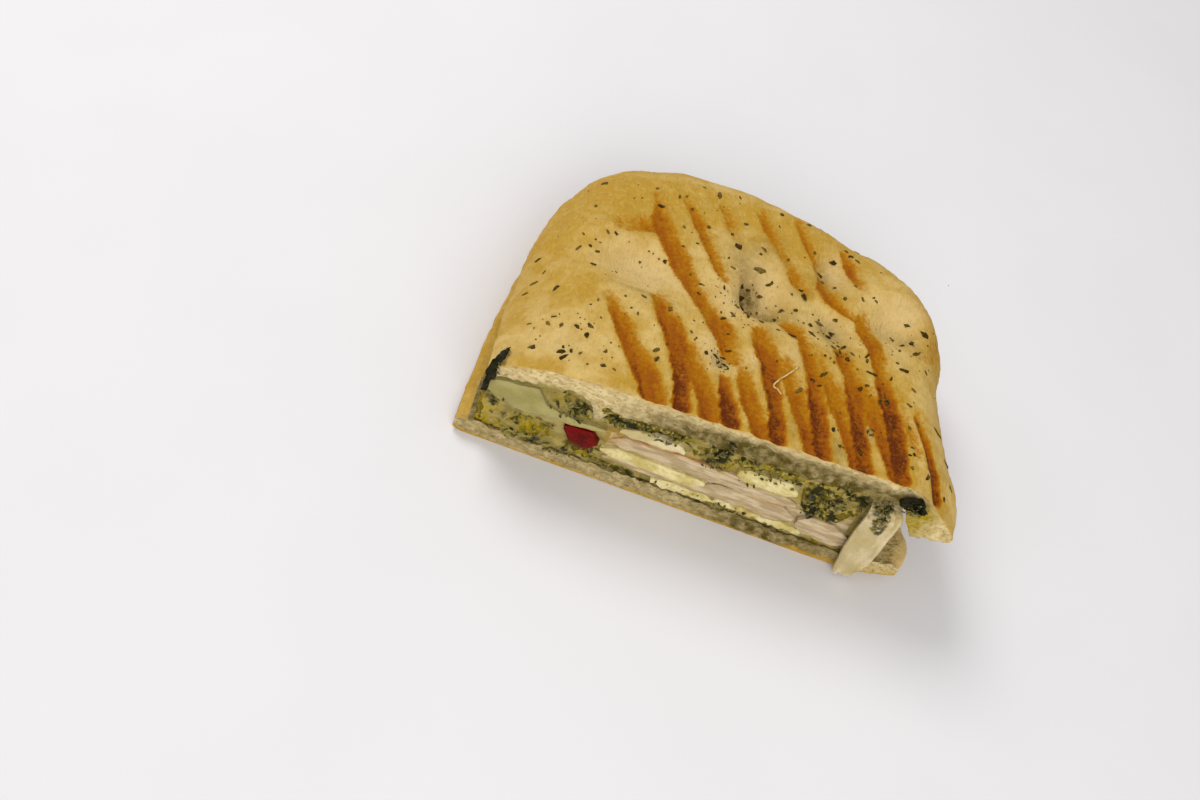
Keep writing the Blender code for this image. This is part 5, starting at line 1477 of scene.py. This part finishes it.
def scatter_flakes(bm, tone):
    """Dried herb flakes, each a thin uneven disc lying on the crust."""
    draw = random.Random(SEED)
    flakes = list(HERBS) + speck_places(draw)
    xs, ys = (np.array([flake[k] for flake in flakes], float) for k in (0, 1))
    heights, normals = crust_heights(xs, ys)
    for (x, y, length, width, angle, dark), z, normal in zip(flakes, heights, normals):
        sides = HERB_SIDES if length > 1 else SPECK_SIDES
        made = bmesh.ops.create_cone(
            bm, cap_ends=True, cap_tris=False, segments=sides, radius1=0.5, radius2=0.42,
            depth=HERB_THICKNESS * min(1, 0.4 + length / 3),
        )["verts"]
        ragged = [draw.uniform(1 - HERB_RAGGED, 1 + HERB_RAGGED) for _ in range(sides)]
        curl = draw.uniform(*HERB_CURL)
        for corner in made:
            way = round(math.atan2(corner.co.y, corner.co.x) * sides / math.tau) % sides
            corner.co.z += curl * corner.co.x**2 * length + draw.uniform(*HERB_UNEVEN)
            corner.co.x *= length * ragged[way]
            corner.co.y *= width * ragged[way]
            corner[tone] = dark * draw.uniform(0.75, 1.0)
        spin = Matrix.Rotation(math.radians(angle), 3, "Z")
        turn = Vector(normal).to_track_quat("Z", "Y").to_matrix() @ spin
        bmesh.ops.rotate(bm, cent=(0, 0, 0), matrix=turn, verts=made)
        bmesh.ops.translate(bm, vec=(x, y, z + HERB_LIFT), verts=made)


def scatter_bits(bm, tone):
    """Small chopped bits of basil that stick to the cut: uneven, flattened grains."""
    draw = random.Random(SEED + 1)
    scale = bpy.context.scene.panini_sizes.bit_scale
    for along_cut, up, forward, count, pale in PESTO_PATCHES:
        for _ in range(count):
            made = bmesh.ops.create_icosphere(bm, subdivisions=1, radius=0.5)["verts"]
            length = blend(*PESTO_BIT_SIZE, draw.random() ** 2) * scale
            flat = (length, length * draw.uniform(0.45, 0.85), length * draw.uniform(0.2, 0.4))
            for corner in made:
                corner.co *= draw.uniform(0.75, 1.25)
            shade = 0.0 if draw.random() < pale else draw.uniform(0.35, 1.1)
            for corner in made:
                corner[tone] = shade
            bmesh.ops.scale(bm, vec=flat, verts=made)
            turn = Matrix.Rotation(draw.uniform(0, math.pi), 3, "Y")
            turn = turn @ Matrix.Rotation(draw.uniform(-1.2, 1.2), 3, "X")
            bmesh.ops.rotate(bm, cent=(0, 0, 0), matrix=turn, verts=made)
            spot = (draw.triangular(*along_cut), draw.uniform(*forward), draw.uniform(*up))
            bmesh.ops.translate(bm, vec=spot, verts=made)


def make_straw(material):
    """A bent stalk lying on the crust, swept round its line."""
    line = curve_through([(x, y, 0) for x, y in STRAW], np.linspace(0, 1, STRAW_STEPS))
    heights, _ = crust_heights(line[:, 0], line[:, 1])
    line[:, 2] = heights + STRAW_RADIUS
    mesh, (u, v, w) = block("stalk_bit", STRAW_SIDES, STRAW_STEPS - 1, 1)
    index = np.rint(v * (STRAW_STEPS - 1)).astype(int)
    ahead = np.gradient(line, axis=0)[index]
    across = np.column_stack((-ahead[:, 1], ahead[:, 0], np.zeros(len(v))))
    across = across / np.linalg.norm(across, axis=1)[:, None]
    radius = STRAW_RADIUS * np.sqrt(np.clip(1 - (2 * v - 1) ** 8, 0.04, 1))
    points = line[index] + across * ((2 * u - 1) * radius)[:, None]
    points[:, 2] += (2 * w - 1) * radius * np.sin(math.pi * blend(0.12, 0.88, u))
    move_corners(mesh, place(*points.T))
    finish_piece(mesh, [material])


def floor_material():
    """Matt painted board: a plain pale field with the faintest unevenness."""
    material, tree, shader = new_material("board_painted_matt")
    coloured(tree, shader, "ground", (patches(tree, 60.0), 0.0, 1.0, 0.4, "ground_shade"))
    soften(shader, 0.8, gloss=0.2)
    return material


def aim_camera():
    """Puts the camera where the photograph was taken from."""
    turn, rise, roll = (math.radians(a) for a in (CAMERA_AZIMUTH, CAMERA_HEIGHT_ANGLE, CAMERA_ROLL))
    forward = -Vector((math.sin(turn) * math.cos(rise), -math.cos(turn) * math.cos(rise), math.sin(rise)))
    level = Vector((math.cos(turn), math.sin(turn), 0))
    upright = level.cross(forward)
    right = math.cos(roll) * level + math.sin(roll) * upright
    up = math.cos(roll) * upright - math.sin(roll) * level
    pixels = CAMERA_LENS / SENSOR_WIDTH * IMAGE_SIZE[0]
    across = (TARGET_PIXEL[0] - IMAGE_SIZE[0] / 2) / pixels
    below = (TARGET_PIXEL[1] - IMAGE_SIZE[1] / 2) / pixels
    eye = Vector(TARGET) - (forward + across * right - below * up) * CAMERA_DISTANCE
    data = bpy.data.cameras.new("camera")
    data.lens = CAMERA_LENS
    data.sensor_width = SENSOR_WIDTH
    data.clip_start = 0.01
    camera = bpy.data.objects.new("camera", data)
    bpy.context.scene.collection.objects.link(camera)
    spot = Matrix.Translation((eye - Vector((CENTRE_X, CENTRE_Y, 0))) * METRES_PER_MM)
    camera.matrix_world = spot @ Matrix((right, up, -forward)).transposed().to_4x4()
    bpy.context.scene.camera = camera


def hang_lamps():
    """Plain soft studio light: a large lamp overhead, one in front, and a pale room."""
    for name, spot, size, watts in LAMPS:
        data = bpy.data.lights.new(name, "AREA")
        data.shape = "DISK"
        data.size = size
        data.energy = watts
        lamp = bpy.data.objects.new(name, data)
        bpy.context.scene.collection.objects.link(lamp)
        lamp.location = spot
        lamp.rotation_euler = (-Vector(spot)).to_track_quat("-Z", "Y").to_euler()
    world = bpy.data.worlds.new("room")
    world.use_nodes = True
    background = world.node_tree.nodes["Background"]
    background.inputs["Color"].default_value = ROOM_COLOUR
    background.inputs["Strength"].default_value = ROOM_STRENGTH
    bpy.context.scene.world = world
    bpy.context.scene.view_settings.view_transform = "Standard"


class PANINI_OT_breads(bpy.types.Operator):
    """Makes the two breads with crust, grill marks and crumb"""

    bl_idname = "panini.breads"
    bl_label = "Breads"

    def execute(self, context):
        looks = [baked_crust(), cut_crumb()]
        make_bread("bread_top", TOP_RIM, top_surfaces, TOP_CELLS, True, looks)
        make_bread("bread_bottom", BOTTOM_RIM, bottom_surfaces, BOTTOM_CELLS, False, looks)
        return {"FINISHED"}


class PANINI_OT_fillings(bpy.types.Operator):
    """Makes the layers of filling that show at the cut"""

    bl_idname = "panini.fillings"
    bl_label = "Fillings"

    def execute(self, context):
        looks = {name: oily_pesto(name, *colours, PESTO_GLOSS) for name, colours in PESTOS.items()}
        looks.update((name, soft_slice(name, *finish)) for name, finish in SLICES.items())
        for name, (look, slot) in DRESSED_AS.items():
            make_layer(name, looks[look])
        make_sauce(looks["cheese_and_pesto_melted"], looks["chicken_breast_cooked"])
        make_melt(looks["mozzarella_run_down"])
        return {"FINISHED"}


class PANINI_OT_greens(bpy.types.Operator):
    """Makes the leaves, herb flakes, chopped pesto and the bit of stalk"""

    bl_idname = "panini.greens"
    bl_label = "Leaves, herbs and pesto"

    def execute(self, context):
        wilted = oily_pesto("basil_wilted", "leaf", "leaf", "pesto_dark", 0.0, 0.12)
        make_leaf("basil_leaf_left", left_leaf, wilted)
        make_leaf("basil_leaf_right", right_leaf, wilted)
        dried = dry_leaf("herbs_dried", "herb", "herb_light", 0.9, 0.0, 1.0, (1.0, 0.5, 0.25), 0.05)
        crumbled("herb_flakes", dried, 35, scatter_flakes)
        wet = dry_leaf("basil_chopped", "pesto_dark", "basil_pale", 0.36, 0.1, 0.8, (0.8, 1.0, 0.2), 0.3)
        crumbled("pesto_bits", wet, 50, scatter_bits)
        make_straw(soft_slice("stalk_dried", "straw", "crust_gold", 1.0, (1, 1, 1), 0.6, 0.1, 0.03))
        return {"FINISHED"}


class PANINI_OT_stage(bpy.types.Operator):
    """Makes the pale floor, the lamps and the camera"""

    bl_idname = "panini.stage"
    bl_label = "Floor, lamps and camera"

    def execute(self, context):
        bm = bmesh.new()
        bmesh.ops.create_grid(bm, x_segments=1, y_segments=1, size=FLOOR_SIZE)
        mesh = bpy.data.meshes.new("floor")
        bm.to_mesh(mesh)
        bm.free()
        mesh.materials.append(floor_material())
        ground = bpy.data.objects.new("floor", mesh)
        context.scene.collection.objects.link(ground)
        hang_lamps()
        aim_camera()
        return {"FINISHED"}


class PANINI_PT_panel(bpy.types.Panel):
    """Lists the steps and the settings"""

    bl_idname = "PANINI_PT_panel"
    bl_label = "Panini half"
    bl_space_type = "VIEW_3D"
    bl_region_type = "UI"
    bl_category = "Panini"

    def draw(self, context):
        for step in STEPS:
            self.layout.operator(step.bl_idname)
        for group in (context.scene.panini_sizes, context.scene.panini_colours):
            for name in group.bl_rna.properties.keys():
                if name not in ("rna_type", "name"):
                    self.layout.prop(group, name)


STEPS = (PANINI_OT_breads, PANINI_OT_fillings, PANINI_OT_greens, PANINI_OT_stage)
CLASSES = (PaniniSizes, PaniniColours, *STEPS, PANINI_PT_panel)


def register():
    for entry in CLASSES:
        bpy.utils.register_class(entry)
    bpy.types.Scene.panini_sizes = bpy.props.PointerProperty(type=PaniniSizes)
    bpy.types.Scene.panini_colours = bpy.props.PointerProperty(type=PaniniColours)


def unregister():
    del bpy.types.Scene.panini_colours
    del bpy.types.Scene.panini_sizes
    for entry in reversed(CLASSES):
        bpy.utils.unregister_class(entry)


def main():
    register()
    bpy.ops.panini.breads()
    bpy.ops.panini.fillings()
    bpy.ops.panini.greens()
    bpy.ops.panini.stage()


if __name__ == "__main__":
    main()
